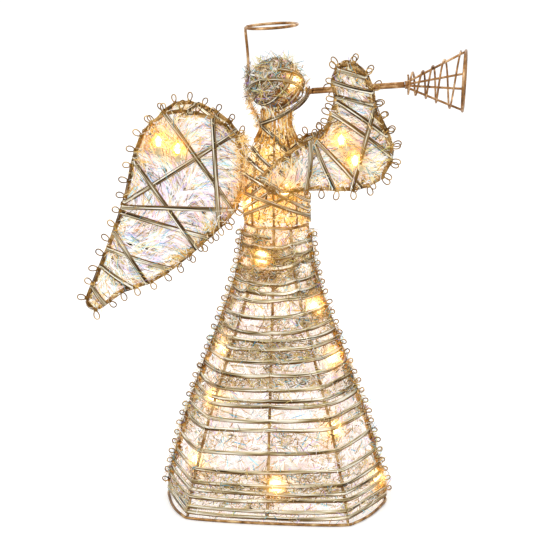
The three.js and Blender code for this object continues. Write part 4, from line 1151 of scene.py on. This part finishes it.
def build_bodice_film():
    sheet = Shape()
    around, up = 60, 40
    angle, share = np.meshgrid(turn_angles(around), np.linspace(0.02, 0.9, up))
    crumples = rng.uniform(-CRUMPLE, CRUMPLE, angle.shape)
    inset = BODICE_SHEET_STAND - LINING_INSET + crumples
    sheet.add(bodice_place(angle, share, inset))
    del sheet.faces[-2:]
    sheet.tint[-1] = rng.uniform(0, 0.62, angle.size)
    add_piece("bodice_film_sheet", sheet, GOLD_FILM, ["bodice_lining"])
    fluff = Shape()
    for count, length, width, lift, offset in BODICE_LAYERS:
        angle = rng.uniform(0, FULL_TURN, count)
        share = rng.uniform(0, 0.97, count)
        place = bodice_place(angle, share, rng.uniform(*offset, count))
        place, normal = clear_of_bulbs(place, unit(level_ways(angle)))
        fluff.strips(*random_strips(place, normal, length, width, lift))
    add_piece("bodice_film_strips", fluff, GOLD_FILM)
    place = rng.uniform(-1, 1, (ROOT_STRIPS, 3)) * ROOT_SPREAD + ROOT_MIDDLE
    strips = random_strips(place, unit(place * vec(1, 1, 0)), (5, 12), (0.4, 0.8), 0.5)
    add_tinsel("wing_root_tinsel", EDGE_FILM, strips)


# Neck, head and halo


def strap(corners):
    """A flat band along a line through corners, its face turned away from the neck's axis."""
    line = even_line(smooth_line(corners), 60)
    along = tangents(line)
    outs = unit(line * vec(1, 1, 0))
    outs = unit(outs - along * (outs * along).sum(axis=1, keepdims=True))
    return list(zip(line, np.cross(outs, along), outs))


# The neck's loose film: how many strips, their length and width, and how far out they lie
NECK_LAYERS = (
    (240, (5, 11), (0.5, 1.0), (-4, -2)),
    (150, (4, 9), (0.4, 0.7), (0, 3.0)),
)


def neck_line():
    """One wire folded up and down round the neck, its lower bends splayed over the bodice."""
    points = []
    low, high = NECK_FOOT - NECK_SKIRT_DROP, NECK_FOOT + NECK_HEIGHT - NECK_TOP_GAP
    for fold in range(2 * NECK_FOLDS):
        first, second = (high, low) if fold % 2 else (low, high)
        ease = -NECK_BEND if fold % 2 else NECK_BEND
        middle = mix(first, second, 0.5)
        heights = (first + ease, middle, second - ease, second, second)
        for turn, z in zip((0, 0.05, 0.1, 0.3, 0.75), heights):
            angle = (fold + turn) * FULL_TURN / (2 * NECK_FOLDS)
            drop = max(NECK_FOOT + NECK_SKIRT_FROM - z, 0) / (NECK_SKIRT_FROM + NECK_SKIRT_DROP)
            radius = NECK_RADIUS + NECK_SKIRT_FLARE * drop ** 1.4
            points.append(vec(radius * math.cos(angle), radius * math.sin(angle), z))
    return smooth_line(points, True, 0.3, 3)


def build_neck():
    folds = {"closed": True, "sides": LOOP_SIDES}
    add_wire("neck_folded_wire", neck_line(), NECK_WIRE, AMBER, ["neck_wire"], **folds)
    for name, places in (("neck_strap", NECK_STRAP), ("neck_sash", NECK_SASH)):
        add_band(name, strap([HEAD_CENTRE + vec(*corner) for corner in places]))
    fluff = Shape()
    for count, length, width, (near, far) in NECK_LAYERS:
        way = level_ways(rng.uniform(0, FULL_TURN, count))
        place = way * rng.uniform(NECK_RADIUS + near, NECK_RADIUS + far, (count, 1))
        place[:, 2] = rng.uniform(NECK_FOOT - 4, NECK_FOOT + NECK_HEIGHT + 2, count)
        fluff.strips(*random_strips(place, way, length, width, 0.35, lay=UP))
    add_piece("neck_film_strips", fluff, GOLD_FILM)


def head_band(radius, turns, span, lean, turn):
    """A band wound round the head from one pole towards the other, about a leaning axis."""
    axes = rotation(math.radians(turn), 0, 1) @ rotation(math.radians(lean), 0, 2)
    stations = []
    steps = int(turns * BAND_STEPS)
    for step in range(steps + 1):
        polar = math.radians(mix(*span, step / steps))
        spin = step / BAND_STEPS * FULL_TURN
        flat, up = math.sin(polar), math.cos(polar)
        out = axes @ vec(flat * math.cos(spin), flat * math.sin(spin), up)
        side = axes @ vec(-up * math.cos(spin), -up * math.sin(spin), flat)
        stations.append((HEAD_CENTRE + out * radius, side, out))
    return stations


# The head's bands: how far off the hoops, turns, polar angles, and the axis' lean and turn
HEAD_BANDS = (
    ("under", 0.4, 3.2, (30, 138), 58, 28),
    ("over", 1.7, 1.8, (84, 124), 34, -80),
)


def build_head():
    cage = Shape()
    turn = turn_angles(48)
    for hoop in range(3):
        angle = hoop * math.pi / 3
        x, y = np.sin(turn) * math.cos(angle), np.sin(turn) * math.sin(angle)
        ring = np.stack([x, y, np.cos(turn)], axis=1)
        cage.wire(ring * HEAD_CAGE_RADIUS + HEAD_CENTRE, HOOP_WIRE, True)
    add_piece("head_hoops", cage, WIRE, ["head_frame"])
    reach = HEAD_CAGE_RADIUS + HOOP_WIRE / 2 + BAND_THICKNESS / 2
    for layer, stand, turns, span, lean, way in HEAD_BANDS:
        stations = head_band(reach + stand, turns, span, lean, way)
        add_band(f"head_band_{layer}", stations, nodes=[f"head_wrap_{layer}"])


def ball_places(count, low, high):
    spin = rng.uniform(0, FULL_TURN, count)
    height = rng.uniform(low, high, count)
    flat = np.sqrt(1 - height ** 2)
    return np.stack([flat * np.cos(spin), flat * np.sin(spin), height], axis=1)


# The head's loose film: name, material, how many strips, their length, width and lift, how
# far out they lie, the heights that they keep to and how far forwards they may lie
HEAD_LAYERS = (
    ("strips", HEAD_FILM, 1150, (5, 11), (0.6, 1.6), 0.2, (-1.6, 1.7), (-0.1, 1), 1),
    ("back", HEAD_FILM, 560, (4, 9), (0.5, 1.4), 0.25, (-1.6, 2.2), (-0.6, 0.1), 0.15),
    ("foot", FOOT_FILM, 420, (5, 11), (0.7, 2.0), 0.1, (-2, 0.8), (-1, 0.15), 1),
    ("hairs", HAIR_FILM, 560, (5, 12), (0.4, 0.65), 0.9, (1.5, 6.0), (-0.7, 1), 1),
)


def build_head_film():
    ball = Shape()
    rows, around = 26, 40
    heights = np.linspace(0.02, math.pi - 0.02, rows)
    polar, spin = np.meshgrid(heights, turn_angles(around), indexing="ij")
    x, y = np.sin(polar) * np.cos(-spin), np.sin(polar) * np.sin(-spin)
    radius = HEAD_CAGE_RADIUS - HEAD_SHEET_INSET + rng.uniform(-CRUMPLE, CRUMPLE, polar.shape)
    ball.add(np.stack([x, y, np.cos(polar)], axis=-1) * radius[..., None] + HEAD_CENTRE)
    ball.tint[-1] = rng.uniform(0, 0.62, polar.size)
    add_piece("head_film_ball", ball, FOOT_FILM, ["head_lining"])
    for layer, material, count, length, width, lift, reach, heights, forwards in HEAD_LAYERS:
        way = ball_places(count, *heights)
        way = way[way[:, 0] < forwards]
        radius = HEAD_CAGE_RADIUS + rng.uniform(*reach, len(way))
        place, way = clear_of_bulbs(HEAD_CENTRE + way * radius[:, None], way)
        strips = random_strips(place, way, length, width, lift)
        add_tinsel(f"head_film_{layer}", material, strips)


def stalk_points():
    """The halo's stalk, from the neck up to its bend."""
    stalk = -(HEAD_SEAT + WIRE_RADIUS)
    neck_side = -(NECK_RADIUS + NECK_WIRE / 2 + SEAT_GAP + WIRE_RADIUS)
    level = HEAD_CENTRE[2] + HEAD_REACH + HALO_RISE
    points = [vec(neck_side, 0, NECK_FOOT + NECK_HEIGHT / part) for part in (4, 2)]
    for share, rise in ((0.86, -0.72), (0.95, -0.2), (0.92, 0.6), (0.95, 1.2)):
        points.append(vec(stalk * share, 0, HEAD_CENTRE[2] + HEAD_REACH * rise))
    return points + [vec(stalk, 0, level - HALO_BEND)]


def build_stalk_tinsel():
    """Tinsel that catches on the halo's stalk beside the head and the neck."""
    line = smooth_line(stalk_points())
    for name, material, count, low, high in (
        ("stalk_head_tinsel", HEAD_FILM, 300, HEAD_CENTRE[2] - 14, HEAD_CENTRE[2] + 15),
        ("stalk_neck_tinsel", EDGE_FILM, 260, NECK_FOOT + 5, HEAD_CENTRE[2] - 12),
    ):
        height = rng.uniform(low, high, count)
        behind = np.interp(height, line[:, 2], line[:, 0])
        place = np.stack([behind, np.zeros(count), height], axis=1)
        place += rng.normal(0, STALK_TINSEL_SPREAD, (count, 3))
        way = np.tile(vec(-1, 0, 0), (count, 1))
        add_tinsel(name, material, random_strips(place, way, (4, 9), (0.4, 0.9), 0.6))


def build_halo():
    points = stalk_points()
    stalk, level = points[-1][0], points[-1][2] + HALO_BEND
    first, last = HALO_BEND / HALO_RADIUS, FULL_TURN - 2 * FRAME_WIRE / HALO_RADIUS
    for step in range(17):
        angle = math.pi + mix(first, last, step / 16)
        x, y = HALO_RADIUS * (1 + math.cos(angle)), HALO_RADIUS * math.sin(angle)
        points.append(vec(stalk + x, y, level + HALO_RISE_FORWARD * x - HALO_RISE_SIDE * y))
    line = even_line(smooth_line(points), 150)
    add_wire("halo_wire", line, FRAME_WIRE, COPPER, ["halo"], sides=FRAME_SIDES)


# Wings and arms: flat outlines, each in its own place


def outline(shares, reach, height, count):
    corners = [vec(u * reach, 0, v * height) for u, v in shares]
    return even_line(smooth_line(corners, True), count, True)


WING_OUTLINE = outline(WING_SHARES, WING_REACH, WING_HEIGHT, 240)
ARM_OUTLINE = outline(ARM_SHARES, ARM_REACH, ARM_HEIGHT, 200)


def outline_at(points, share):
    place = (share % 1) * len(points)
    first = int(place)
    near = points[np.arange(first - 1, first + 3) % len(points)]
    t = place - first
    at = mix(near[1], near[2], t)
    along = unit(mix(near[2] - near[0], near[3] - near[1], t))
    return at, along, vec(-along[2], 0, along[0]), vec(0, 1, 0)


def wing_seat():
    """How far behind the angel's axis the wing's root edge meets the bodice."""
    splay = math.radians(WING_SPLAY)
    reaches = []
    for x, _, z in WING_OUTLINE:
        share = (WING_FOOT + z - BODICE_FOOT) / BODICE_HEIGHT
        wide = BUST_HALF_WIDTH * spread(BODICE_WIDTH_SHARES, share) + LIMB_STAND
        deep = BUST_HALF_DEPTH * spread(BODICE_DEPTH_SHARES, share) + LIMB_STAND
        across = (WING_SPACING + x * math.sin(splay)) / deep
        if across < 1:
            reaches.append(wide * math.sqrt(1 - across ** 2) - x * math.cos(splay))
    return max(reaches) + WIRE_RADIUS + SEAT_GAP


def limb_place(axes, origin, way):
    """Turns a limb's places, and its directions, into the angel's."""
    flip = vec(1, way, 1)
    return lambda points: (points @ axes.T + origin) * flip, lambda ways: (ways @ axes.T) * flip


def wing_place(way):
    """The wing's place: way is 1 on the angel's left and -1 on its right."""
    axes = rotation(math.pi - math.radians(WING_SPLAY), 0, 1)
    return limb_place(axes, vec(-wing_seat(), WING_SPACING, WING_FOOT), way)


MOUTH_AT = vec(HEAD_SEAT, 0, HEAD_CENTRE[2] - MOUTH_DROP)


def arm_place(way):
    """The arm's place, turned in so that its grip meets the trumpet."""
    face = WIRE_RADIUS + 1
    side = BUST_HALF_DEPTH + LIMB_STAND + face + 1.6
    height = BODICE_FOOT + SHOULDER_SHARE * BODICE_HEIGHT
    grip_reach = GRIP_SHARE * ARM_REACH
    rise = math.tan(math.radians(TRUMPET_LIFT)) * (grip_reach - SHOULDER_BACK - MOUTH_AT[0])
    tilt = math.radians(ARM_TILT)
    lean = (MOUTH_AT[2] + rise - height) * math.sin(tilt)
    turn = math.asin((side - (TUBE_REACH + 0.6 + face) - lean) / grip_reach)
    axes = rotation(-turn, 0, 1) @ rotation(tilt, 1, 2)
    return limb_place(axes, vec(-SHOULDER_BACK, side, height), way)


def outline_band(points, shares, place, turn_way, first_face):
    """A band that passes over one face, turns round the wire and comes back on the other."""
    spots = [outline_at(points, share) for share in shares]
    normal = vec(0, 1, 0)
    stations = []
    for i, (at, along, out, _) in enumerate(spots):
        face = first_face if i % 2 == 0 else -first_face
        arrive = unit(at - spots[max(i - 1, 0)][0])
        leave = unit(at - spots[min(i + 1, len(spots) - 1)][0])
        square = max(float(unit(arrive + leave) @ out), 0.75)
        side = along * (-face / square)
        turns = np.linspace(0, 1, 7)
        if i == 0:
            turns = turns[3:]
        if i == len(spots) - 1:
            turns = turns[:4]
        for t in turns:
            angle = math.pi * t
            facing = normal * (-face * math.cos(angle)) + out * math.sin(angle)
            stations.append((at + facing * FACE_REACH, side, facing))
        if i < len(spots) - 1:
            there = spots[i + 1][0]
            lift = PASS_LIFTS[i // 2 % len(PASS_LIFTS)]
            sway = rng.normal(0, PASS_SWAY)
            across = np.cross(normal * face, unit(there - at))
            if across @ side < 0:
                across = -across
            for t in PASS_STEPS:
                arch = math.sin(math.pi * t)
                raised = mix(at, there, t) + normal * face * (FACE_REACH + lift * arch)
                stations.append((raised + across * sway * arch, across, normal * face))
    return [(place(c), turn_way(s), turn_way(o)) for c, s, o in stations]


def fix_flow(stations):
    """Sides that flip from one station to the next are turned back."""
    fixed = [stations[0]]
    for centre, side, out in stations[1:]:
        before = fixed[-1]
        fixed.append((centre, side if side @ before[1] > 0 else -side, out))
    return fixed


def spine_of(points, reach, place, turn_way, first, last):
    def spine_at(share):
        at, along, out, normal = outline_at(points, mix(first, last, share))
        return place(at + out * reach), turn_way(along), turn_way(out), turn_way(normal)
    return spine_at


def inside(points, xz):
    """Which places lie inside an outline."""
    here, there = points[:, [0, 2]], np.roll(points, -1, axis=0)[:, [0, 2]]
    x, z = xz[:, :1], xz[:, 1:]
    spans = (here[:, 1] > z) != (there[:, 1] > z)
    rise = there[:, 1] - here[:, 1] + 1e-12
    run = (there[:, 0] - here[:, 0]) * (z - here[:, 1]) / rise + here[:, 0]
    return ((x < run) & spans).sum(axis=1) % 2 == 1


def scatter(points, count):
    """Random places inside an outline."""
    low, high = points.min(axis=0), points.max(axis=0)
    found = np.zeros((0, 2))
    while len(found) < count:
        tries = rng.uniform(low[[0, 2]], high[[0, 2]], (count * 2, 2))
        found = np.vstack([found, tries[inside(points, tries)]])
    return found[:count]


def placed_strips(place, turn_way, lines, sides, widths, tints):
    """A limb's strips in the angel's place."""
    lines = place(lines.reshape(-1, 3)).reshape(lines.shape)
    sides = turn_way(sides.reshape(-1, 3)).reshape(sides.shape)
    return lines, sides, widths, tints


def outline_film(points, place, turn_way, count, length, width, lift, depth, stray):
    """Strips of film inside a flat outline, lying in drifts."""
    spots = scatter(points, count)
    at = np.stack([spots[:, 0], rng.uniform(*depth, count), spots[:, 1]], axis=1)
    normal = np.tile(vec(0, 1, 0), (count, 1))
    lean = 1.3 * np.sin(spots[:, 0] / 19 + 1) + 1.1 * np.sin(spots[:, 1] / 26)
    lay = 1.4 * np.stack([np.cos(lean), np.zeros(count), np.sin(lean)], axis=1)
    strips = random_strips(at, normal, length, width, lift, lay=lay)
    ends = np.concatenate([strips[0][:, 0], strips[0][:, -1]])[:, [0, 2]]
    within = inside(points, ends).reshape(2, count).all(axis=0)
    stays = within | (rng.uniform(0, 1, count) < stray)
    return placed_strips(place, turn_way, *(column[stays] for column in strips))


def edge_gold(points, place, turn_way):
    """Warm gold film gathered along the wire inside an outline."""
    count = int(run_length(points) * GOLD_EACH_MM)
    spots = [outline_at(points, share) for share in rng.uniform(0, 1, count)]
    at, _, out, normal = (np.array(rows) for rows in zip(*spots))
    inwards = out * (GOLD_DEPTH * rng.uniform(0, 1, (count, 1)) ** 1.6)
    at = at - inwards + normal * rng.normal(0, GOLD_STRAY, (count, 1))
    return placed_strips(place, turn_way, *random_strips(at, normal, (3, 9), (0.4, 0.8), 0.35))


def run_length(points):
    return np.linalg.norm(np.roll(points, -1, axis=0) - points, axis=1).sum()


def build_limb(side, kind, points, placing, passes, loops, loop_span, layers):
    """One wing or arm: its wire, bands, loop trim and layers of film."""
    place, turn_way = placing
    limb = f"{side}_{kind}"
    add_wire(f"{limb}_wire", place(points), FRAME_WIRE, WIRE, [f"{limb}_frame"], **ROUND)
    wrap = Shape()
    near = -1 if kind == "wing" else 1
    for number, shares in enumerate(passes):
        stations = outline_band(points, shares, place, turn_way, -near if number else near)
        wrap.band(fix_flow(stations), LIMB_BAND_WIDTH, tint=0.2 + 0.3 * number)
    add_piece(f"{limb}_band", wrap, BAND, [f"{limb}_wrap"], SHARP_EDGE)
    spine = spine_of(points, WIRE_RADIUS + 0.6, place, turn_way, *loop_span)
    nodes = [f"{side}_wing_loops"] if kind == "wing" else []
    add_loops(limb, loop_line(loops, spine), nodes)
    length = run_length(points) * (loop_span[1] - loop_span[0])
    sleeves = wound_sleeves(spine_of(points, 0, place, turn_way, *loop_span), length, loops)
    add_piece(f"{limb}_sleeves", sleeves, TRIM)
    for layer, material, *strip_set in layers:
        nodes = [f"{limb}_fill"] if layer == "clear_film" else []
        strips = outline_film(points, place, turn_way, *strip_set)
        add_tinsel(f"{limb}_{layer}", material, strips, nodes)
    add_tinsel(f"{limb}_gold", EDGE_FILM, edge_gold(points, place, turn_way))


def build_shoulder_coils():
    """A flat coil of wire where each arm's outline is tied to the bodice."""
    at, _, _, normal = outline_at(ARM_OUTLINE, COIL_AT)
    spin = np.linspace(0, COIL_TURNS * FULL_TURN, 60)[:, None]
    radius = np.linspace(COIL_INNER_RADIUS, COIL_OUTER_RADIUS, 60)[:, None]
    around = (vec(1, 0, 0) * np.cos(spin) + UP * np.sin(spin)) * radius
    for side, way in SIDES:
        place, _ = arm_place(way)
        coil = place(at + normal * (FACE_REACH + COIL_STAND) + around)
        add_wire(f"{side}_shoulder_knot", coil, COIL_WIRE, WIRE, sides=LOOP_SIDES)


# The layers of film in a limb: name, material, how many strips, their length, width and lift,
# how deep they lie, and the share of those crossing the outline that stays
WING_LAYERS = (
    ("clear_film", PALE_FILM, 800, (9, 20), (1.6, 3.0), 0.05, (-0.6, 0.6), 0.0),
    ("film", FILM, 2300, (7, 19), (0.35, 0.65), 0.08, (-1.6, 1.6), 0.1),
    ("hairs", HAIR_FILM, 900, (5, 13), (0.35, 0.6), 0.5, (-4.0, 4.0), 0.8),
)
ARM_LAYERS = (
    ("clear_film", PALE_FILM, 400, (8, 16), (1.5, 2.6), 0.05, (-0.6, 0.6), 0.0),
    ("film", FILM, 1250, (6, 14), (0.35, 0.65), 0.08, (-1.6, 1.6), 0.1),
    ("hairs", HAIR_FILM, 540, (5, 12), (0.35, 0.6), 0.5, (-4.0, 4.0), 0.8),
)
# The gold film along each outline: strips for each millimetre, how far in they reach, and how
# far they stray from its face
GOLD_EACH_MM, GOLD_DEPTH, GOLD_STRAY = 2.6, 9, 1.6


def build_limbs():
    for side, way in SIDES:
        build_limb(side, "wing", WING_OUTLINE, wing_place(way), WING_PASS_SHARES, WING_LOOPS,
                   (0.01, 0.9), WING_LAYERS)
        build_limb(side, "arm", ARM_OUTLINE, arm_place(way), ARM_PASS_SHARES, ARM_LOOPS,
                   (0.03, 0.97), ARM_LAYERS)


# Trumpet


def trumpet_place(points):
    lift = math.radians(TRUMPET_LIFT)
    points = np.atleast_2d(points)
    x = points[:, 0] * math.cos(lift) - points[:, 2] * math.sin(lift)
    z = points[:, 0] * math.sin(lift) + points[:, 2] * math.cos(lift)
    return np.stack([x, points[:, 1], z], axis=1) + MOUTH_AT


# The mouthpiece's outline: shares of its radius and its length
MOUTHPIECE_SHARES = [
    (0, 0.1), (0.3, 0.02), (0.8, 0), (1, 0.06), (1.02, 0.2), (0.7, 0.5), (0.56, 0.8), (0.54, 1),
    (0, 1),
]


def build_mouthpiece():
    sides = 24
    angle = turn_angles(sides)
    rings = []
    for radius, along in MOUTHPIECE_SHARES:
        reach = max(radius, 0.02) * MOUTHPIECE_RADIUS
        level = np.full(sides, along * MOUTHPIECE_LENGTH)
        ring = np.stack([level, reach * np.sin(angle), reach * np.cos(angle)], axis=1)
        rings.append(trumpet_place(ring))
    mouth = Shape()
    mouth.add(np.array(rings)[:, ::-1])
    add_piece("mouthpiece_flare", mouth, COPPER, ["trumpet_mouthpiece"], sharp=50)


def build_tube():
    """Three wires side by side, with a slight twist."""
    tube = Shape()
    start = MOUTHPIECE_LENGTH + 0.1
    for lobe in range(3):
        turn = lobe * FULL_TURN / 3 + np.linspace(0, 0.35, 30)
        along = np.linspace(start, start + TUBE_LENGTH + 0.4, 30)
        reach = TUBE_WIRE / math.sqrt(3)
        line = np.stack([along, reach * np.sin(turn), reach * np.cos(turn)], axis=1)
        tube.wire(trumpet_place(line), TUBE_SHOWN_WIRE, sides=FRAME_SIDES, tint=lobe / 3)
    add_piece("trumpet_tube_wires", tube, COPPER, ["trumpet_tube"])


def bell_place(angle, radius, along):
    """Places on the bell, which leans forwards more towards its rim."""
    angle = np.atleast_1d(angle)
    start = MOUTHPIECE_LENGTH + SEAT_GAP + TUBE_LENGTH + SEAT_GAP
    leant = start + along + BELL_LEAN * radius / BELL_RADIUS * np.cos(angle)
    return trumpet_place(np.stack([leant, radius * np.sin(angle), radius * np.cos(angle)], axis=1))


def build_bell():
    foot = TUBE_REACH - HOOP_WIRE / 2
    rim = BELL_LENGTH - HOOP_WIRE / 2
    bell = Shape()
    share = np.linspace(0, 1, 12)
    for rib in range(4):
        angle = np.full(12, rib * FULL_TURN / 4 + BELL_TURN)
        line = bell_place(angle, mix(foot, BELL_RADIUS, share), mix(0.5, rim, share))
        bell.wire(line, BELL_SHOWN_WIRE)
    turn = turn_angles(72)
    bell.wire(bell_place(turn, BELL_RADIUS, rim), BELL_SHOWN_WIRE * 1.25, True)
    turn = np.linspace(0, 3 * FULL_TURN, 90)
    collar = bell_place(turn, TUBE_REACH + 0.2, np.linspace(0.4, COLLAR_LENGTH, 90))
    bell.wire(collar, COLLAR_WIRE)
    add_piece("bell_ribs_and_rim", bell, COPPER, ["trumpet_bell_frame"])


def build_spiral():
    """The wire that winds over the bell's ribs."""
    foot = TUBE_REACH - HOOP_WIRE / 2
    rim = BELL_LENGTH - HOOP_WIRE / 2
    share = np.linspace(0, 1, SPIRAL_TURNS * 30 + 1)
    along = spread(SPIRAL_ALONG, share)
    radius = mix(foot, BELL_RADIUS, np.clip(along / rim, 0, 1))
    radius = radius + (BELL_SHOWN_WIRE + SPIRAL_WIRE) / 2 + spread(SPIRAL_STAND, share)
    line = bell_place(share * SPIRAL_TURNS * FULL_TURN, radius, along)
    add_wire("bell_spiral_wire", line, SPIRAL_WIRE, COPPER, ["trumpet_bell_spiral"])


# Lights

# A bulb's outline: shares of its radius and half its length
BULB_SHARES = [
    (0.0, -1), (0.7, -1), (0.95, -0.75), (1, -0.1), (0.85, 0.45), (0.5, 0.8), (0.2, 0.95), (0, 1),
]


def build_bulbs():
    angle = turn_angles(14)
    for number, centre in zip(NUMBERS, BULBS):
        low, high = (np.array(corner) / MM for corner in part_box(f"bulb_{number}"))
        size = high - low
        upright = size[2] > 0.9 * size.max()
        axis = UP if upright else unit(vec(size[0], 0, size[2]) * vec(-1, 1, 1))
        side = unit(np.cross(axis, vec(0, 1, 0)))
        other = np.cross(axis, side)
        rings = []
        for radius, along in BULB_SHARES:
            reach = max(radius, 0.01) * BULB_RADIUS
            ring = side[None] * (reach * np.cos(angle))[:, None]
            ring = ring + other[None] * (reach * np.sin(angle))[:, None]
            rings.append(centre - SHIFT + axis * along * BULB_HALF_LENGTH + ring)
        bulb = Shape()
        bulb.add(np.array(rings))
        add_piece(f"mini_bulb_{number}", bulb, LIT, [f"bulb_{number}"])
        lamp = bpy.data.lights.new(f"bulb_light_{number}", "POINT")
        lamp.energy = BODY_LAMP if number <= BODY_BULBS else LIMB_LAMP
        lamp.color = LAMP_COLOUR
        lamp.shadow_soft_size = LAMP_SIZE
        glow = bpy.data.objects.new(f"bulb_light_{number}", lamp)
        glow.location = centre * MM
        bpy.context.scene.collection.objects.link(glow)


def build_sparks():
    """Fine strips round each bulb that glow as painted light, standing in for its glare."""
    sparks = Shape()
    for centre in BULBS:
        way = unit(rng.normal(size=(SPARKS, 3)))
        far = rng.uniform(0, 1, (SPARKS, 1)) ** 1.3
        place = centre - SHIFT + way * (SPARK_FROM + SPARK_REACH * far)
        sparks.strips(*random_strips(place, way, (3, 8), (0.35, 0.75), 0.9))
    add_piece("bulb_sparks", sparks, SPARK_FILM)


def dress_light_string():
    string = bpy.data.objects["light_string"]
    string.data.materials.clear()
    string.data.materials.append(LEAD)


# Studio


def build_floor():
    mesh = bpy.data.meshes.new("floor")
    half = FLOOR_HALF
    corners = [(-half, -half, 0), (half, -half, 0), (half, half, 0), (-half, half, 0)]
    mesh.from_pydata(corners, [], [(0, 1, 2, 3)])
    floor = bpy.data.objects.new("floor", mesh)
    floor.location.z = FLOOR_LEVEL
    bpy.context.scene.collection.objects.link(floor)
    material, tree, shader = start_material("pale_floor")
    seen = add_node(tree, "ShaderNodeLightPath").outputs["Is Camera Ray"]
    feed(tree, shader, {
        "Base Color": (FLOOR_GREY, FLOOR_GREY, FLOOR_GREY, 1),
        "Roughness": 0.9,
        "Specular IOR Level": 0.1,
        "Emission Color": (1, 1, 1, 1),
        "Emission Strength": math_node(tree, "MULTIPLY", seen, FLOOR_LIFT),
    })
    mesh.materials.append(material)


def build_world():
    world = bpy.data.worlds.new("studio")
    bpy.context.scene.world = world
    world.use_nodes = True
    tree = world.node_tree
    path = add_node(tree, "ShaderNodeLightPath").outputs
    seen = math_node(tree, "MAXIMUM", path["Is Camera Ray"], path["Is Transmission Ray"])
    seen = math_node(tree, "MAXIMUM", seen, path["Is Glossy Ray"])
    strength = map_range(tree, seen, *WORLD_STRENGTHS)
    feed(tree, tree.nodes["Background"], {"Color": (1, 1, 1, 1), "Strength": strength})


def aim(placed, at, target):
    """Puts a lamp or the camera in its place, facing its target."""
    placed.location = at
    placed.rotation_euler = (Vector(target) - Vector(at)).to_track_quat("-Z", "Y").to_euler()
    bpy.context.scene.collection.objects.link(placed)


def build_studio():
    build_floor()
    build_world()
    for name, at, size, energy in LAMPS:
        lamp = bpy.data.lights.new(name, "AREA")
        lamp.size = size
        lamp.energy = energy
        aim(bpy.data.objects.new(name, lamp), at, CAMERA_AIM)
    camera = bpy.data.cameras.new("camera")
    camera.lens = CAMERA_LENS
    camera.sensor_width = CAMERA_SENSOR
    camera.sensor_fit = "HORIZONTAL"
    camera.shift_x = CAMERA_SHIFT_X
    camera.shift_y = CAMERA_SHIFT_Y
    placed = bpy.data.objects.new("camera", camera)
    aim(placed, CAMERA_AT, CAMERA_AIM)
    bpy.context.scene.camera = placed
    bpy.context.scene.view_settings.view_transform = "Standard"


build_studio()
build_gown_frame()
build_gown_wrap()
build_gown_loops()
build_gown_sheet()
build_gown_film()
build_gown_garland()
build_bodice_frame()
build_bodice_bands()
build_bodice_film()
build_neck()
build_head()
build_head_film()
build_halo()
build_limbs()
build_shoulder_coils()
build_mouthpiece()
build_tube()
build_bell()
build_spiral()
build_bulbs()
build_sparks()
build_stalk_tinsel()
dress_light_string()
